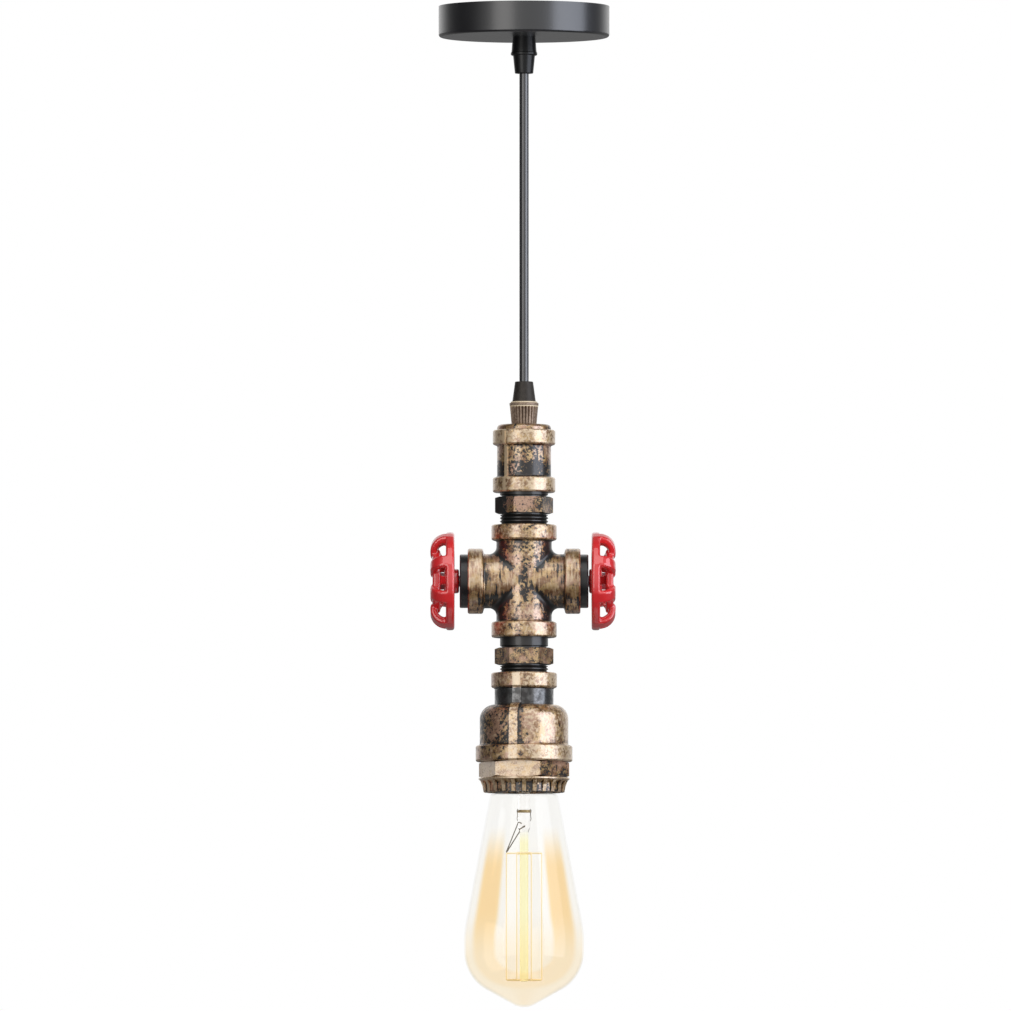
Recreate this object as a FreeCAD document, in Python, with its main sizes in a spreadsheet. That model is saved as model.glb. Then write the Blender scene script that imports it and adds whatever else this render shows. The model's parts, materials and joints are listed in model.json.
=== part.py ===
import FreeCAD, Part
import math
import os
import re

import Sketcher
from FreeCAD import Placement, Rotation, Vector

# A pendant lamp made of pipe fittings, in millimetres. The ceiling is the plane z = 0, the lamp hangs
# down its own Z axis, +X is the right hand handwheel, and -Y faces whoever looks at the lamp.

SIZES = (
    # Fits and small rounds used on several pieces
    ("hole_clearance", 0.3),
    ("thread_clearance", 0.05),
    ("running_clearance", 0.06),
    ("core_clearance", 0.6),
    ("edge_round", 0.8),
    ("fine_round", 0.4),
    ("join_depth", 0.3),
    # Ceiling cup and the strap behind it
    ("cup_radius", 47.0),
    ("cup_height", 17.0),
    ("cup_wall", 1.0),
    ("cup_round", 1.5),
    ("bar_half_length", 43.0),
    ("bar_width", 14.0),
    ("bar_thickness", 1.5),
    ("bar_drop", 9.0),
    ("bar_middle_half", 20.0),
    ("slot_spacing", 66.0),
    ("slot_length", 10.0),
    ("slot_width", 4.5),
    ("nipple_radius", 5.0),
    ("nipple_wall", 1.8),
    ("nipple_proud", 0.6),
    ("nut_flats", 14.0),
    ("nut_height", 3.0),
    # Earth screw and its tag on the strap
    ("earth_offset", 15.3),
    ("earth_screw_radius", 2.0),
    ("earth_screw_length", 4.8),
    ("earth_head_radius", 3.8),
    ("earth_head_height", 2.4),
    ("earth_slot_width", 1.0),
    ("earth_slot_depth", 1.2),
    ("tag_thickness", 0.8),
    ("tag_margin", 0.4),
    ("tag_half_width", 1.5),
    # Terminal block in the cup
    ("block_width", 17.0),
    ("block_depth", 16.0),
    ("block_height", 10.5),
    ("block_distance", 15.0),
    ("block_corner", 1.2),
    ("pole_spacing", 8.0),
    ("sleeve_radius", 2.6),
    ("sleeve_bore", 1.6),
    ("sleeve_inset", 1.0),
    ("screw_spacing", 7.0),
    ("screw_radius", 1.3),
    ("screw_recess", 1.0),
    ("screw_head_radius", 1.8),
    ("screw_head_height", 1.6),
    ("screw_slot_width", 0.6),
    ("screw_slot_depth", 0.7),
    # Cord and its cores
    ("cord_radius", 2.6),
    ("cord_length", 169.9),
    ("bend_depth", 1.0),
    ("bend_gap", 1.2),
    ("core_radius", 0.95),
    ("core_ring", 1.3),
    ("core_bend", 1.9),
    ("long_core_bend", 6.0),
    ("jacket_end_gap", 0.4),
    # Upper cord grip
    ("top_grip_radius", 6.2),
    ("top_grip_skirt", 7.3),
    ("top_grip_height", 10.1),
    ("skirt_bevel", 0.5),
    ("skirt_band", 1.0),
    ("skirt_step", 0.35),
    ("top_nut_radius", 6.05),
    ("top_nut_tip", 5.05),
    ("top_nut_height", 9.9),
    ("mouth_rise", 1.5),
    ("mouth_radius", 3.9),
    # Lower cord grip
    ("low_nut_radius", 6.45),
    ("low_nut_tip", 4.95),
    ("low_nut_height", 11.0),
    ("collar_radius", 8.0),
    ("collar_height", 2.2),
    ("collar_bevel", 0.3),
    ("collar_band", 1.0),
    ("collar_step", 0.7),
    ("low_grip_radius", 7.85),
    ("low_grip_foot", 6.85),
    ("low_grip_height", 12.7),
    ("flute_count", 26),
    ("flute_half_width", 0.8),
    ("flute_depth", 0.55),
    ("flute_drop", 0.5),
    # Parts that both grips share
    ("grip_thread", 6.0),
    ("grip_web", 0.6),
    ("spigot_radius", 5.3),
    ("spigot_height", 3.3),
    ("sleeve_wall", 1.5),
    ("throat_clearance", 0.3),
    ("throat_height", 1.4),
    # Threads, bores and beads of the pipe fittings
    ("pipe_thread", 13.22),
    ("pipe_pitch", 1.814),
    ("pipe_thread_depth", 1.0),
    ("pipe_engagement", 10.0),
    ("mouth_spare", 0.5),
    ("thread_relief", 0.6),
    ("pipe_bore", 9.5),
    ("fitting_bore", 11.5),
    ("bead_round", 1.1),
    ("bead_fall", 0.9),
    ("bead_fillet", 0.7),
    # Domed plug and its nipple
    ("dome_radius", 14.85),
    ("dome_height", 3.0),
    ("dome_round", 2.2),
    ("plug_shank", 9.0),
    ("plug_wall", 3.0),
    ("plug_web", 2.4),
    ("inner_nipple", 15.0),
    ("jacket_below_plug", 12.4),
    # Coupling
    ("coupling_length", 34.4),
    ("coupling_bead", 17.2),
    ("coupling_bead_height", 7.9),
    ("coupling_radius", 14.8),
    ("rib_width", 1.7),
    ("rib_proud", 0.35),
    ("body_rib_proud", 1.0),
    # Hexagonal nipples
    ("upper_neck", 2.4),
    ("hex_flats", 28.0),
    ("hex_height", 9.3),
    ("hex_chamfer", 1.0),
    ("upper_thread_show", 6.1),
    ("lower_neck", 5.7),
    ("lower_thread_show", 4.4),
    # Cross
    ("cross_reach", 31.0),
    ("cross_bead", 17.95),
    ("cross_bead_height", 8.2),
    ("cross_upright", 15.2),
    ("cross_arm", 14.9),
    ("cross_fillet", 4.0),
    # Reducer with the bell
    ("bell_length", 49.0),
    ("bell_top_bead", 18.1),
    ("bell_top_bead_height", 7.9),
    ("bell_stop", 1.0),
    ("bell_neck", 16.2),
    ("bell_neck_height", 9.7),
    ("bell_radius", 24.35),
    ("bell_shoulder", 8.0),
    ("bell_bead", 26.6),
    ("bell_bead_height", 8.5),
    ("bell_wall", 2.6),
    ("bell_rib_width", 5.0),
    ("bell_rib_proud", 0.7),
    ("earth_ring_thickness", 0.8),
    ("earth_ring_bore", 10.5),
    ("earth_tab_length", 5.5),
    # Bushing and the toothed ring below it
    ("bushing_flats", 43.5),
    ("bushing_height", 8.8),
    ("bushing_thread_height", 8.0),
    ("ledge_depth", 1.8),
    ("ledge_bore", 17.3),
    ("ring_thread", 20.2),
    ("lip_radius", 25.0),
    ("lip_edge", 1.0),
    ("lip_bevel", 0.3),
    ("trumpet_height", 1.9),
    ("trumpet_round", 1.4),
    ("ring_height", 8.0),
    ("ring_waist", 21.7),
    ("ring_mouth", 20.7),
    ("tooth_radius", 22.9),
    ("tooth_count", 24),
    ("tooth_width", 2.2),
    ("tooth_belly", 4.4),
    ("tooth_bevel", 0.7),
    # Lampholder
    ("holder_radius", 17.0),
    ("holder_height", 20.0),
    ("holder_round", 2.0),
    ("holder_flange", 2.6),
    ("holder_skirt", 15.7),
    ("skirt_height", 5.6),
    ("holder_roof", 4.0),
    ("shell_wall", 0.4),
    ("shell_clearance", 0.2),
    ("shell_length", 19.0),
    ("contact_radius", 3.5),
    ("contact_leaf", 0.6),
    ("contact_post", 1.5),
    ("contact_proud", 1.4),
    ("post_offset", 8.5),
    ("post_width", 7.0),
    ("post_depth", 6.0),
    ("post_height", 5.0),
    ("post_floor", 1.0),
    ("post_play", 0.15),
    ("core_spread", 4.5),
    ("spread_height", 22.0),
    ("approach_height", 6.0),
    # Bulb
    ("screw_mean", 12.65),
    ("screw_wave", 0.475),
    ("screw_pitch", 3.629),
    ("cap_rim_depth", 2.0),
    ("cap_skirt", 13.5),
    ("cap_skirt_height", 3.7),
    ("cap_screw_height", 14.8),
    ("cap_bore", 11.6),
    ("cap_roof", 0.5),
    ("insulator_height", 3.5),
    ("insulator_foot", 11.0),
    ("insulator_tip", 6.0),
    ("button_radius", 4.7),
    ("button_height", 1.5),
    ("button_round", 1.0),
    ("button_post", 2.3),
    ("button_reach", 2.5),
    ("glass_wall", 0.8),
    ("glass_neck", 11.5),
    ("glass_neck_height", 6.0),
    ("glass_neck_round", 1.2),
    ("glass_shoulder", 18.3),
    ("glass_shoulder_drop", 6.0),
    ("glass_shoulder_round", 3.7),
    ("glass_throat", 19.9),
    ("glass_throat_drop", 14.0),
    ("glass_belly", 33.0),
    ("glass_belly_rise", 24.7),
    ("glass_side_round", 60.0),
    ("glass_hip", 32.5),
    ("glass_hip_rise", 16.3),
    ("glass_hip_round", 24.0),
    ("glass_tip", 3.1),
    ("glass_tip_round", 10.0),
    ("glass_length", 124.0),
    ("stem_radius", 3.4),
    ("stem_wall", 1.2),
    ("stem_drop", 25.0),
    ("stem_bore_drop", 8.0),
    ("stem_play", 0.02),
    ("flare_drop", 0.5),
    ("flare_height", 9.0),
    ("flare_lip", 0.8),
    ("flare_round", 3.0),
    ("pinch_taper", 3.0),
    ("pinch_spacing", 2.8),
    ("arbor_radius", 2.4),
    ("arbor_gap", 14.0),
    ("wire_radius", 0.3),
    ("wire_bend", 1.0),
    ("filament_radius", 0.3),
    ("cage_radius", 10.5),
    ("cage_drop", 39.5),
    ("cage_rise", 0.8),
    ("strand_pairs", 4),
    # Side plugs, valve stems and handwheels
    ("plug_face", 14.75),
    ("plug_face_height", 4.4),
    ("side_web", 6.0),
    ("side_shank", 9.0),
    ("shank_round", 0.6),
    ("shaft_radius", 3.0),
    ("shaft_head", 5.0),
    ("shaft_head_height", 3.0),
    ("shaft_play", 0.3),
    ("shaft_step", 0.2),
    ("shaft_thread", 2.5),
    ("shaft_proud", 0.8),
    ("square_width", 6.0),
    ("square_corner", 0.5),
    ("square_clearance", 0.05),
    ("left_wheel_gap", 2.9),
    ("right_wheel_gap", 1.7),
    ("wheel_radius", 27.0),
    ("wheel_rim_width", 5.0),
    ("wheel_rim_height", 4.3),
    ("wheel_height", 13.3),
    ("finger_count", 8),
    ("finger_width", 6.0),
    ("finger_thickness", 3.4),
    ("finger_round", 8.8),
    ("finger_tip_round", 1.0),
    ("finger_inner", 15.3),
    ("front_ring_outer", 17.5),
    ("front_ring_inner", 13.6),
    ("front_ring_height", 3.9),
    ("front_ring_recess", 1.3),
    ("hub_radius", 6.5),
    ("hub_height", 5.5),
    ("spoke_count", 4),
    ("spoke_width", 4.5),
    ("spoke_thickness", 3.5),
    ("spoke_lift", 0.4),
    ("spoke_inset", 0.2),
    ("wheel_nut_flats", 8.0),
    ("wheel_nut_height", 3.2),
)

NAMES = {name for name, value in SIZES}

# Bearings in degrees: casting ribs, hexagons, the fingers of the handwheels and the filament
RIB_BEARING = -130.0
BELL_RIB_BEARING = -104.0
UPPER_HEX_TURN = 9.0
BUSHING_TURN = -9.0
NUT_TURN = 30.0
FINGER_TURN = 22.5
FILAMENT_TURN = -90.0

# Share of the thread's pitch by which a ridge's flat top reaches to each side of its middle
RIDGE_SHARE = 0.12

# Share of the glass by which the inner corner of the hip lies above the outer one, the bottom being sloped
HIP_SHARE = 0.6

# Share of its volume by which a bent wire may differ from its section times its length
VOLUME_SLACK = 0.02

doc = FreeCAD.newDocument("PipePendant")
sheet = doc.addObject("Spreadsheet::Sheet", "Sizes")
for row, (name, value) in enumerate(SIZES, start=1):
    sheet.set(f"A{row}", name)
    sheet.set(f"B{row}", str(value))
    sheet.setAlias(f"B{row}", name)
doc.recompute()

KEPT = []


# Reading the sheet
def bound(text):
    """An expression with each size's name pointed at the sheet, and at.NAME at that piece's height."""
    text = re.sub(r"\bat\.(\w+)", r"(\1.Placement.Base.z / 1mm)", text)
    return re.sub(r"[A-Za-z_][A-Za-z_0-9.]*", lambda m: on_sheet(m.group(0)), text)


def on_sheet(word):
    return "Sizes." + word if word in NAMES else word


def amount(text):
    """What an expression comes to now, as a number."""
    found = sheet.evalExpression(bound(text))
    return float(getattr(found, "Value", found))


def spot(x, y, z):
    """A point from three expressions."""
    return Vector(amount(x), amount(y), amount(z))


class Piece:
    """A sub-part built as a PartDesign body, its sketches and features bound to the sheet."""

    def __init__(self, label):
        self.body = doc.addObject("PartDesign::Body", label)
        self.body.Label = label
        self.body.AllowCompound = True
        self.count = 0
        KEPT.append(self.body)

    def origin(self, role):
        return next(f for f in self.body.Origin.OriginFeatures if f.Role == role)

    def feature(self, kind, name):
        self.count += 1
        return self.body.newObject(kind, f"{self.body.Name}_{name}{self.count}")

    def sketch(self, role="XZ_Plane", lift="0", turn=0.0):
        """A sketch on one of the body's planes, lifted off it or turned about its own upright."""
        made = self.feature("Sketcher::SketchObject", "sketch")
        made.AttachmentSupport = [(self.origin(role), "")]
        made.MapMode = "FlatFace"
        made.AttachmentOffset = Placement(Vector(0, 0, amount(lift)), Rotation(Vector(0, 1, 0), turn))
        made.setExpression(".AttachmentOffset.Base.z", bound(lift))
        return made

    def set(self, made, **values):
        for key, text in values.items():
            made.setExpression(key, bound(text))

    def turned(self, corners, axis="Z_Axis", kind="PartDesign::Revolution"):
        """Adds what a closed outline sweeps round an axis."""
        profile = self.sketch()
        outline(profile, corners)
        made = self.feature(kind, "turn")
        made.Profile = profile
        made.ReferenceAxis = (self.origin(axis), [""])
        made.Angle = 360
        return made

    def grooved(self, corners, axis="Z_Axis"):
        """Takes away what a closed outline sweeps round an axis."""
        return self.turned(corners, axis, "PartDesign::Groove")

    def raised(self, profile, height, middle=False, down=False):
        """Adds a prism on a sketch, to one side of it or half each way."""
        made = self.feature("PartDesign::Pad", "pad")
        made.Profile = profile
        made.SideType = "Symmetric" if middle else "One side"
        made.Reversed = down
        self.set(made, Length=height)
        return made

    def sunk(self, profile, depth=None, middle=False, up=False):
        """Takes a prism away, through everything where no depth is given."""
        made = self.feature("PartDesign::Pocket", "pocket")
        made.Profile = profile
        made.SideType = "Symmetric" if middle else "One side"
        made.Reversed = up
        if depth is None:
            made.Type = "ThroughAll"
        else:
            self.set(made, Length=depth)
        return made

    def ring_of(self, original, count):
        """Repeats a feature evenly round the body's axis."""
        made = self.feature("PartDesign::PolarPattern", "ring")
        made.Originals = [original]
        made.Axis = (self.origin("Z_Axis"), [""])
        made.Angle = 360
        self.set(made, Occurrences=count)
        self.body.Tip = made
        return made

    def rounded(self, chosen, radius):
        """Rounds the edges that a test chooses on the shape so far."""
        doc.recompute()
        base = self.body.Tip
        names = [f"Edge{i}" for i, e in enumerate(base.Shape.Edges, start=1) if chosen(e)]
        made = self.feature("PartDesign::Fillet", "round")
        made.Base = (base, names)
        self.set(made, Radius=radius)
        return made

    def hexagon(self, flats, height):
        """Adds a hexagonal prism below the body's origin, its corners turned down at both ends."""
        profile = self.sketch("XY_Plane")
        corner = f"{flats} / sqrt(3)"
        outline(profile, [(f"{corner} * cos({60 * i}deg)", f"{corner} * sin({60 * i}deg)") for i in range(6)])
        self.raised(profile, height, down=True)
        inner, outer, foot = f"{flats} / 2 + fine_round / 2", f"{corner} + hex_chamfer", f"-{height}"
        self.grooved([(inner, "0"), (outer, "0"), (outer, "-hex_chamfer")])
        self.grooved([(inner, foot), (outer, f"{foot} + hex_chamfer"), (outer, foot)])

    def placed(self, x="0", y="0", z="0", about=(0, 0, 1), angle=0.0):
        """Puts the body at its seat, turned about an axis through its own origin."""
        return seated(self.body, x, y, z, about, angle)


def seated(made, x="0", y="0", z="0", about=(0, 0, 1), angle=0.0):
    """Places an object by expressions, so that it follows what it sits on."""
    made.Placement = Placement(spot(x, y, z), Rotation(Vector(*about), angle))
    for key, text in zip("xyz", (x, y, z)):
        made.setExpression(f".Placement.Base.{key}", bound(text))
    return made


# Sketches
def outline(profile, corners):
    """Draws a closed outline through (across, up) or (across, up, rounding) corners and fixes every size."""
    spots = [spot(c[0], c[1], "0") for c in corners]
    rounds = [amount(c[2]) if len(c) > 2 else 0.0 for c in corners]
    count, first_line = len(corners), profile.GeometryCount
    arrive, leave, arcs = list(spots), list(spots), {}
    for i, radius in enumerate(rounds):
        if radius > 0:
            arrive[i], leave[i], arcs[i] = rounding(spots[i - 1], spots[i], spots[(i + 1) % count], radius)
    for i in range(count):
        profile.addGeometry(Part.LineSegment(leave[i], arrive[(i + 1) % count]), False)
    for i, corner in enumerate(corners):
        line, before = first_line + i, first_line + (i - 1) % count
        if i not in arcs:
            profile.addConstraint(Sketcher.Constraint("Coincident", before, 2, line, 1))
            fix(profile, line, 1, corner)
            continue
        arc, starts_at_arrival = arcs[i]
        bend = profile.addGeometry(arc, False)
        mark = profile.addGeometry(Part.Point(spots[i]), True)
        first, second = (1, 2) if starts_at_arrival else (2, 1)
        profile.addConstraint(Sketcher.Constraint("Tangent", before, 2, bend, first))
        profile.addConstraint(Sketcher.Constraint("Tangent", bend, second, line, 1))
        profile.addConstraint(Sketcher.Constraint("PointOnObject", mark, 1, before))
        profile.addConstraint(Sketcher.Constraint("PointOnObject", mark, 1, line))
        fix(profile, mark, 1, corner)
        size = profile.addConstraint(Sketcher.Constraint("Radius", bend, rounds[i]))
        profile.setExpression(f"Constraints[{size}]", bound(corner[2]))


def rounding(before, corner, after, radius):
    """The ends of a corner's arc, and the arc itself with whether it starts where the outline arrives."""
    back = (before - corner).normalize()
    ahead = (after - corner).normalize()
    half = back.getAngle(ahead) / 2
    reach = radius / math.tan(half)
    centre = corner + (back + ahead).normalize() * (radius / math.sin(half))
    arrive, leave = corner + back * reach, corner + ahead * reach
    left_turn = (corner - before).cross(after - corner).z > 0
    start, end = (arrive, leave) if left_turn else (leave, arrive)
    angles = [math.atan2(p.y - centre.y, p.x - centre.x) for p in (start, end)]
    if angles[1] < angles[0]:
        angles[1] += 2 * math.pi
    circle = Part.Circle(centre, Vector(0, 0, 1), radius)
    return arrive, leave, (Part.ArcOfCircle(circle, *angles), left_turn)


def fix(profile, geometry, point, corner):
    """Ties a point's two coordinates to the sheet."""
    for kind, text in zip(("DistanceX", "DistanceY"), corner):
        size = profile.addConstraint(Sketcher.Constraint(kind, -1, 1, geometry, point, amount(text)))
        profile.setExpression(f"Constraints[{size}]", bound(text))


def circle(profile, radius, x="0", y="0"):
    """Adds a circle to a sketch."""
    made = profile.addGeometry(Part.Circle(spot(x, y, "0"), Vector(0, 0, 1), amount(radius)), False)
    size = profile.addConstraint(Sketcher.Constraint("Radius", made, amount(radius)))
    profile.setExpression(f"Constraints[{size}]", bound(radius))
    fix(profile, made, 3, (x, y))


def rectangle(low_x, high_x, low_y, high_y, rounding_radius=None):
    """The corners of a rectangle, each with the same rounding if one is given."""
    corners = [(low_x, low_y), (high_x, low_y), (high_x, high_y), (low_x, high_y)]
    return [(*c, rounding_radius) for c in corners] if rounding_radius else corners


def square(half, corner_radius):
    return rectangle(f"-({half})", half, f"-({half})", half, corner_radius)


def tube(bore, outer, low, high):
    """The outline of a plain tube."""
    return rectangle(bore, outer, low, high)


# Plain solids, wires and threads
def solid(kind, name, **values):
    """A Part primitive whose sizes are bound to the sheet."""
    made = doc.addObject(kind, name)
    for key, text in values.items():
        made.setExpression(key, bound(text))
    return made


def cut(name, base, tool):
    made = doc.addObject("Part::Cut", name)
    made.Base, made.Tool = base, tool
    return made


def kept(made, label):
    """Marks an object as a sub-part under its own name."""
    made.Label = label
    KEPT.append(made)
    return made


def nut(name, flats, height, bore):
    """A hexagonal nut on its own axis, standing on z = 0."""
    block = solid("Part::Prism", name + "_hex", Circumradius=f"{flats} / sqrt(3)", Height=height)
    block.Polygon = 6
    hole = solid("Part::Cylinder", name + "_bore", Radius=bore, Height=height)
    return cut(name, block, hole)


def group(label, members):
    """Several separate solids under one name."""
    made = doc.addObject("Part::Compound", label)
    made.Links = members
    return kept(made, label)


def shaped(label, shape, z="0", angle=0.0):
    """A sub-part whose form comes from Part's own functions, then its seat and its turn about its upright."""
    made = doc.addObject("Part::Feature", label)
    made.Shape = shape
    return seated(kept(made, label), z=z, angle=angle)


def wire_through(stops, bend):
    """A path of straight runs and tangent arcs through points."""
    edges, start = [], stops[0]
    for before, corner, after in zip(stops, stops[1:], stops[2:]):
        back, ahead = (before - corner).normalize(), (after - corner).normalize()
        half = back.getAngle(ahead) / 2
        reach = bend / math.tan(half)
        centre = corner + (back + ahead).normalize() * (bend / math.sin(half))
        arrive, leave = corner + back * reach, corner + ahead * reach
        middle = centre + (corner - centre).normalize() * bend
        edges += [Part.LineSegment(start, arrive).toShape(), Part.Arc(arrive, middle, leave).toShape()]
        start = leave
    edges.append(Part.LineSegment(start, stops[-1]).toShape())
    return Part.Wire(edges)


def bent_wire(stops, radius, bend):
    """A round wire along a path, its volume set against its section times its length."""
    path = wire_through(stops, bend)
    ring = Part.Wire([Part.makeCircle(radius, stops[0], stops[1] - stops[0])])
    made = path.makePipeShell([ring], True, False)
    expected = path.Length * math.pi * radius**2
    if abs(made.Volume - expected) > VOLUME_SLACK * expected:
        raise ValueError(f"a wire holds {made.Volume:.2f} mm3 instead of {expected:.2f}")
    return made


def core(label, stops, bend):
    return shaped(label, bent_wire([spot(*s) for s in stops], amount("core_radius"), amount(bend)))


def screw(mean, wave, pitch, height):
    """A rod with a rounded thread: a circle that stays level while its centre runs up a helix."""
    path = Part.Wire(Part.makeHelix(pitch, height, wave).Edges)
    ring = Part.Wire([Part.makeCircle(mean, Vector(wave, 0, 0), Vector(0, 0, 1))])
    shell = Part.BRepOffsetAPI.MakePipeShell(path)
    shell.setTrihedronMode(Vector(0, 0, 0), Vector(0, 0, 1))
    shell.add(ring, False, False)
    shell.build()
    shell.makeSolid()
    return shell.shape()


def ridges(radius, root, top, foot, pitch):
    """The corners of a threaded stretch, read downwards: level ridges a pitch apart."""
    rows = int((amount(top) - amount(foot)) / amount(pitch))
    corners = []
    for i in range(rows):
        for reach, share in ((radius, RIDGE_SHARE), (root, 0.5), (radius, 1 - RIDGE_SHARE)):
            corners.append((reach, f"{top} - {pitch} * {i + share}"))
    return corners


def mouth(piece, radius, top, depth):
    """Opens a round mouth into a piece, from a level down."""
    piece.grooved([("0", top), (radius, top), (radius, f"{top} - ({depth})"), ("0", f"{top} - ({depth})")])


# Ceiling cup, open against the ceiling, with the hole that the hollow nipple passes
def ceiling_cup():
    piece = Piece("ceiling_cup")
    hole = "nipple_radius + hole_clearance"
    inside, floor = "cup_radius - cup_wall", "-cup_height + cup_wall"
    piece.turned(
        [
            (hole, "-cup_height"),
            ("cup_radius", "-cup_height", "cup_round"),
            ("cup_radius", "0"),
            (inside, "0"),
            (inside, floor, "max(cup_round - cup_wall; fine_round)"),
            (hole, floor),
        ]
    )


# Strap that is screwed to the ceiling and carries the nipple, its middle bent down from the ceiling
def crossbar():
    piece = Piece("crossbar")
    profile = piece.sketch()
    inner, outer = "bar_middle_half", "bar_middle_half + bar_thickness"
    end, wing = "bar_half_length", "-bar_thickness"
    middle, under = "-bar_drop", "-bar_drop - bar_thickness"
    right = [(end, wing), (end, "0"), (inner, "0"), (inner, middle)]
    left = [(f"-{x}", z) for x, z in reversed(right)]
    outside = [(f"-({outer})", wing), (f"-({outer})", under), (outer, under), (outer, wing)]
    outline(profile, [*right, *left, *outside])
    piece.raised(profile, "bar_width", middle=True)
    half_run = "(slot_length - slot_width) / 2"
    slots, holes = piece.sketch("XY_Plane"), piece.sketch("XY_Plane")
    circle(holes, "nipple_radius + hole_clearance")
    circle(holes, "earth_screw_radius + thread_clearance", "-earth_offset", "-core_ring")
    for side in ("-", ""):
        low, high = f"{side}slot_spacing / 2 - {half_run}", f"{side}slot_spacing / 2 + {half_run}"
        outline(slots, rectangle(low, high, "-slot_width / 2", "slot_width / 2"))
        circle(holes, "slot_width / 2", low)
        circle(holes, "slot_width / 2", high)
    piece.sunk(slots, middle=True)
    piece.sunk(holes, middle=True)


# Hollow nipple from above the strap down into the upper cord grip, and its two lock nuts
def cup_nipple():
    piece = Piece("cup_nipple")
    top = "-bar_drop + nut_height + nipple_proud"
    piece.turned(tube("nipple_radius - nipple_wall", "nipple_radius",
                      f"-cup_height - grip_thread - ({top})", "0"))
    piece.placed(z=top)


def nipple_lock_nuts():
    nuts = []
    for name, foot in (("upper", "-bar_drop"), ("lower", "-bar_drop - bar_thickness - nut_height")):
        made = nut(f"{name}_lock_nut", "nut_flats", "nut_height", "nipple_radius + thread_clearance")
        nuts.append(seated(made, z=foot, angle=NUT_TURN))
    group("nipple_lock_nuts", nuts)


# Two pole terminal block that stands on the cup's floor behind the strap
BLOCK_FLOOR = "-cup_height + cup_wall"
BLOCK_MIDDLE = "-cup_height + cup_wall + block_height / 2"


def terminal_block():
    piece = Piece("terminal_block")
    base = piece.sketch("XY_Plane")
    outline(base, rectangle("-block_width / 2", "block_width / 2", "-block_depth / 2", "block_depth / 2",
                            "block_corner"))
    piece.raised(base, "block_height")
    ways, wells = piece.sketch("XZ_Plane"), piece.sketch("XY_Plane", "block_height / 2")
    for side in ("-", ""):
        circle(ways, "sleeve_radius + thread_clearance", f"{side}pole_spacing / 2", "block_height / 2")
        for row in ("-", ""):
            circle(wells, "screw_head_radius + hole_clearance", f"{side}pole_spacing / 2",
                   f"{row}screw_spacing / 2")
    piece.sunk(ways, middle=True)
    piece.sunk(wells, "block_height", up=True)
    piece.placed(y="block_distance + block_depth / 2", z=BLOCK_FLOOR)


def terminal_sleeves():
    length = "block_depth - 2 * sleeve_inset"
    sleeves = []
    for side in ("-", ""):
        name = "left_pole" if side else "right_pole"
        outer = solid("Part::Cylinder", name + "_tube", Radius="sleeve_radius", Height=length)
        inner = solid("Part::Cylinder", name + "_way", Radius="sleeve_bore", Height=length)
        made = cut(name + "_bored", outer, inner)
        for row in ("-", ""):
            hole = solid("Part::Cylinder", f"{name}_{'near' if row else 'far'}_hole",
                         Radius="screw_radius + thread_clearance", Height="sleeve_radius + fine_round")
            seated(hole, z=f"({length}) / 2 {row or '+'} screw_spacing / 2", about=(1, 0, 0), angle=-90.0)
            made = cut(f"{hole.Name}_drilled", made, hole)
        seated(made, x=f"{side}pole_spacing / 2", y="block_distance + block_depth - sleeve_inset",
               z=BLOCK_MIDDLE, about=(1, 0, 0), angle=90.0)
        sleeves.append(made)
    group("terminal_sleeves", sleeves)


def terminal_screws():
    shank_height = "block_height / 2 - core_radius - screw_recess"
    screws = []
    for side in ("-", ""):
        for row in ("-", ""):
            name = f"terminal_screw{len(screws) + 1}"
            shank = solid("Part::Cylinder", name + "_shank", Radius="screw_radius", Height=shank_height)
            head = solid("Part::Cylinder", name + "_head", Radius="screw_head_radius",
                         Height="screw_head_height")
            seated(head, z=shank_height)
            whole = doc.addObject("Part::Fuse", name + "_whole")
            whole.Base, whole.Tool = shank, head
            slot = solid("Part::Box", name + "_slot", Length="2 * screw_head_radius",
                         Width="screw_slot_width", Height="screw_slot_depth")
            seated(slot, x="-screw_head_radius", y="-screw_slot_width / 2",
                   z=f"{shank_height} + screw_head_height - screw_slot_depth")
            made = cut(name, whole, slot)
            screws.append(seated(made, x=f"{side}pole_spacing / 2",
                                 y=f"block_distance + block_depth / 2 {row or '+'} screw_spacing / 2",
                                 z=f"{BLOCK_MIDDLE} + core_radius"))
    group("terminal_screws", screws)


# Upper cord grip: body on the nipple, nut with a flared mouth, rubber sleeve between them
GRIP_NIPPLE = "nipple_radius + thread_clearance"
GRIP_SPIGOT = "spigot_radius + thread_clearance"
GRIP_PASSAGE = "cord_radius + sleeve_wall"
GRIP_THROAT = "cord_radius + throat_clearance"


def grip_body_upper():
    piece = Piece("grip_body_upper")
    web, foot = "-grip_thread", "-top_grip_height"
    band = f"{foot} + skirt_bevel + skirt_band"
    piece.turned(
        [
            (GRIP_NIPPLE, "0"),
            (GRIP_NIPPLE, web),
            (GRIP_PASSAGE, web),
            (GRIP_PASSAGE, f"{web} - grip_web"),
            (GRIP_SPIGOT, f"{web} - grip_web"),
            (GRIP_SPIGOT, foot),
            ("top_grip_skirt - skirt_bevel", foot),
            ("top_grip_skirt", f"{foot} + skirt_bevel"),
            ("top_grip_skirt", band),
            ("top_grip_skirt - skirt_step", f"{band} + skirt_step"),
            ("top_grip_radius", "0"),
        ]
    )
    piece.placed(z="-cup_height")


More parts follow.
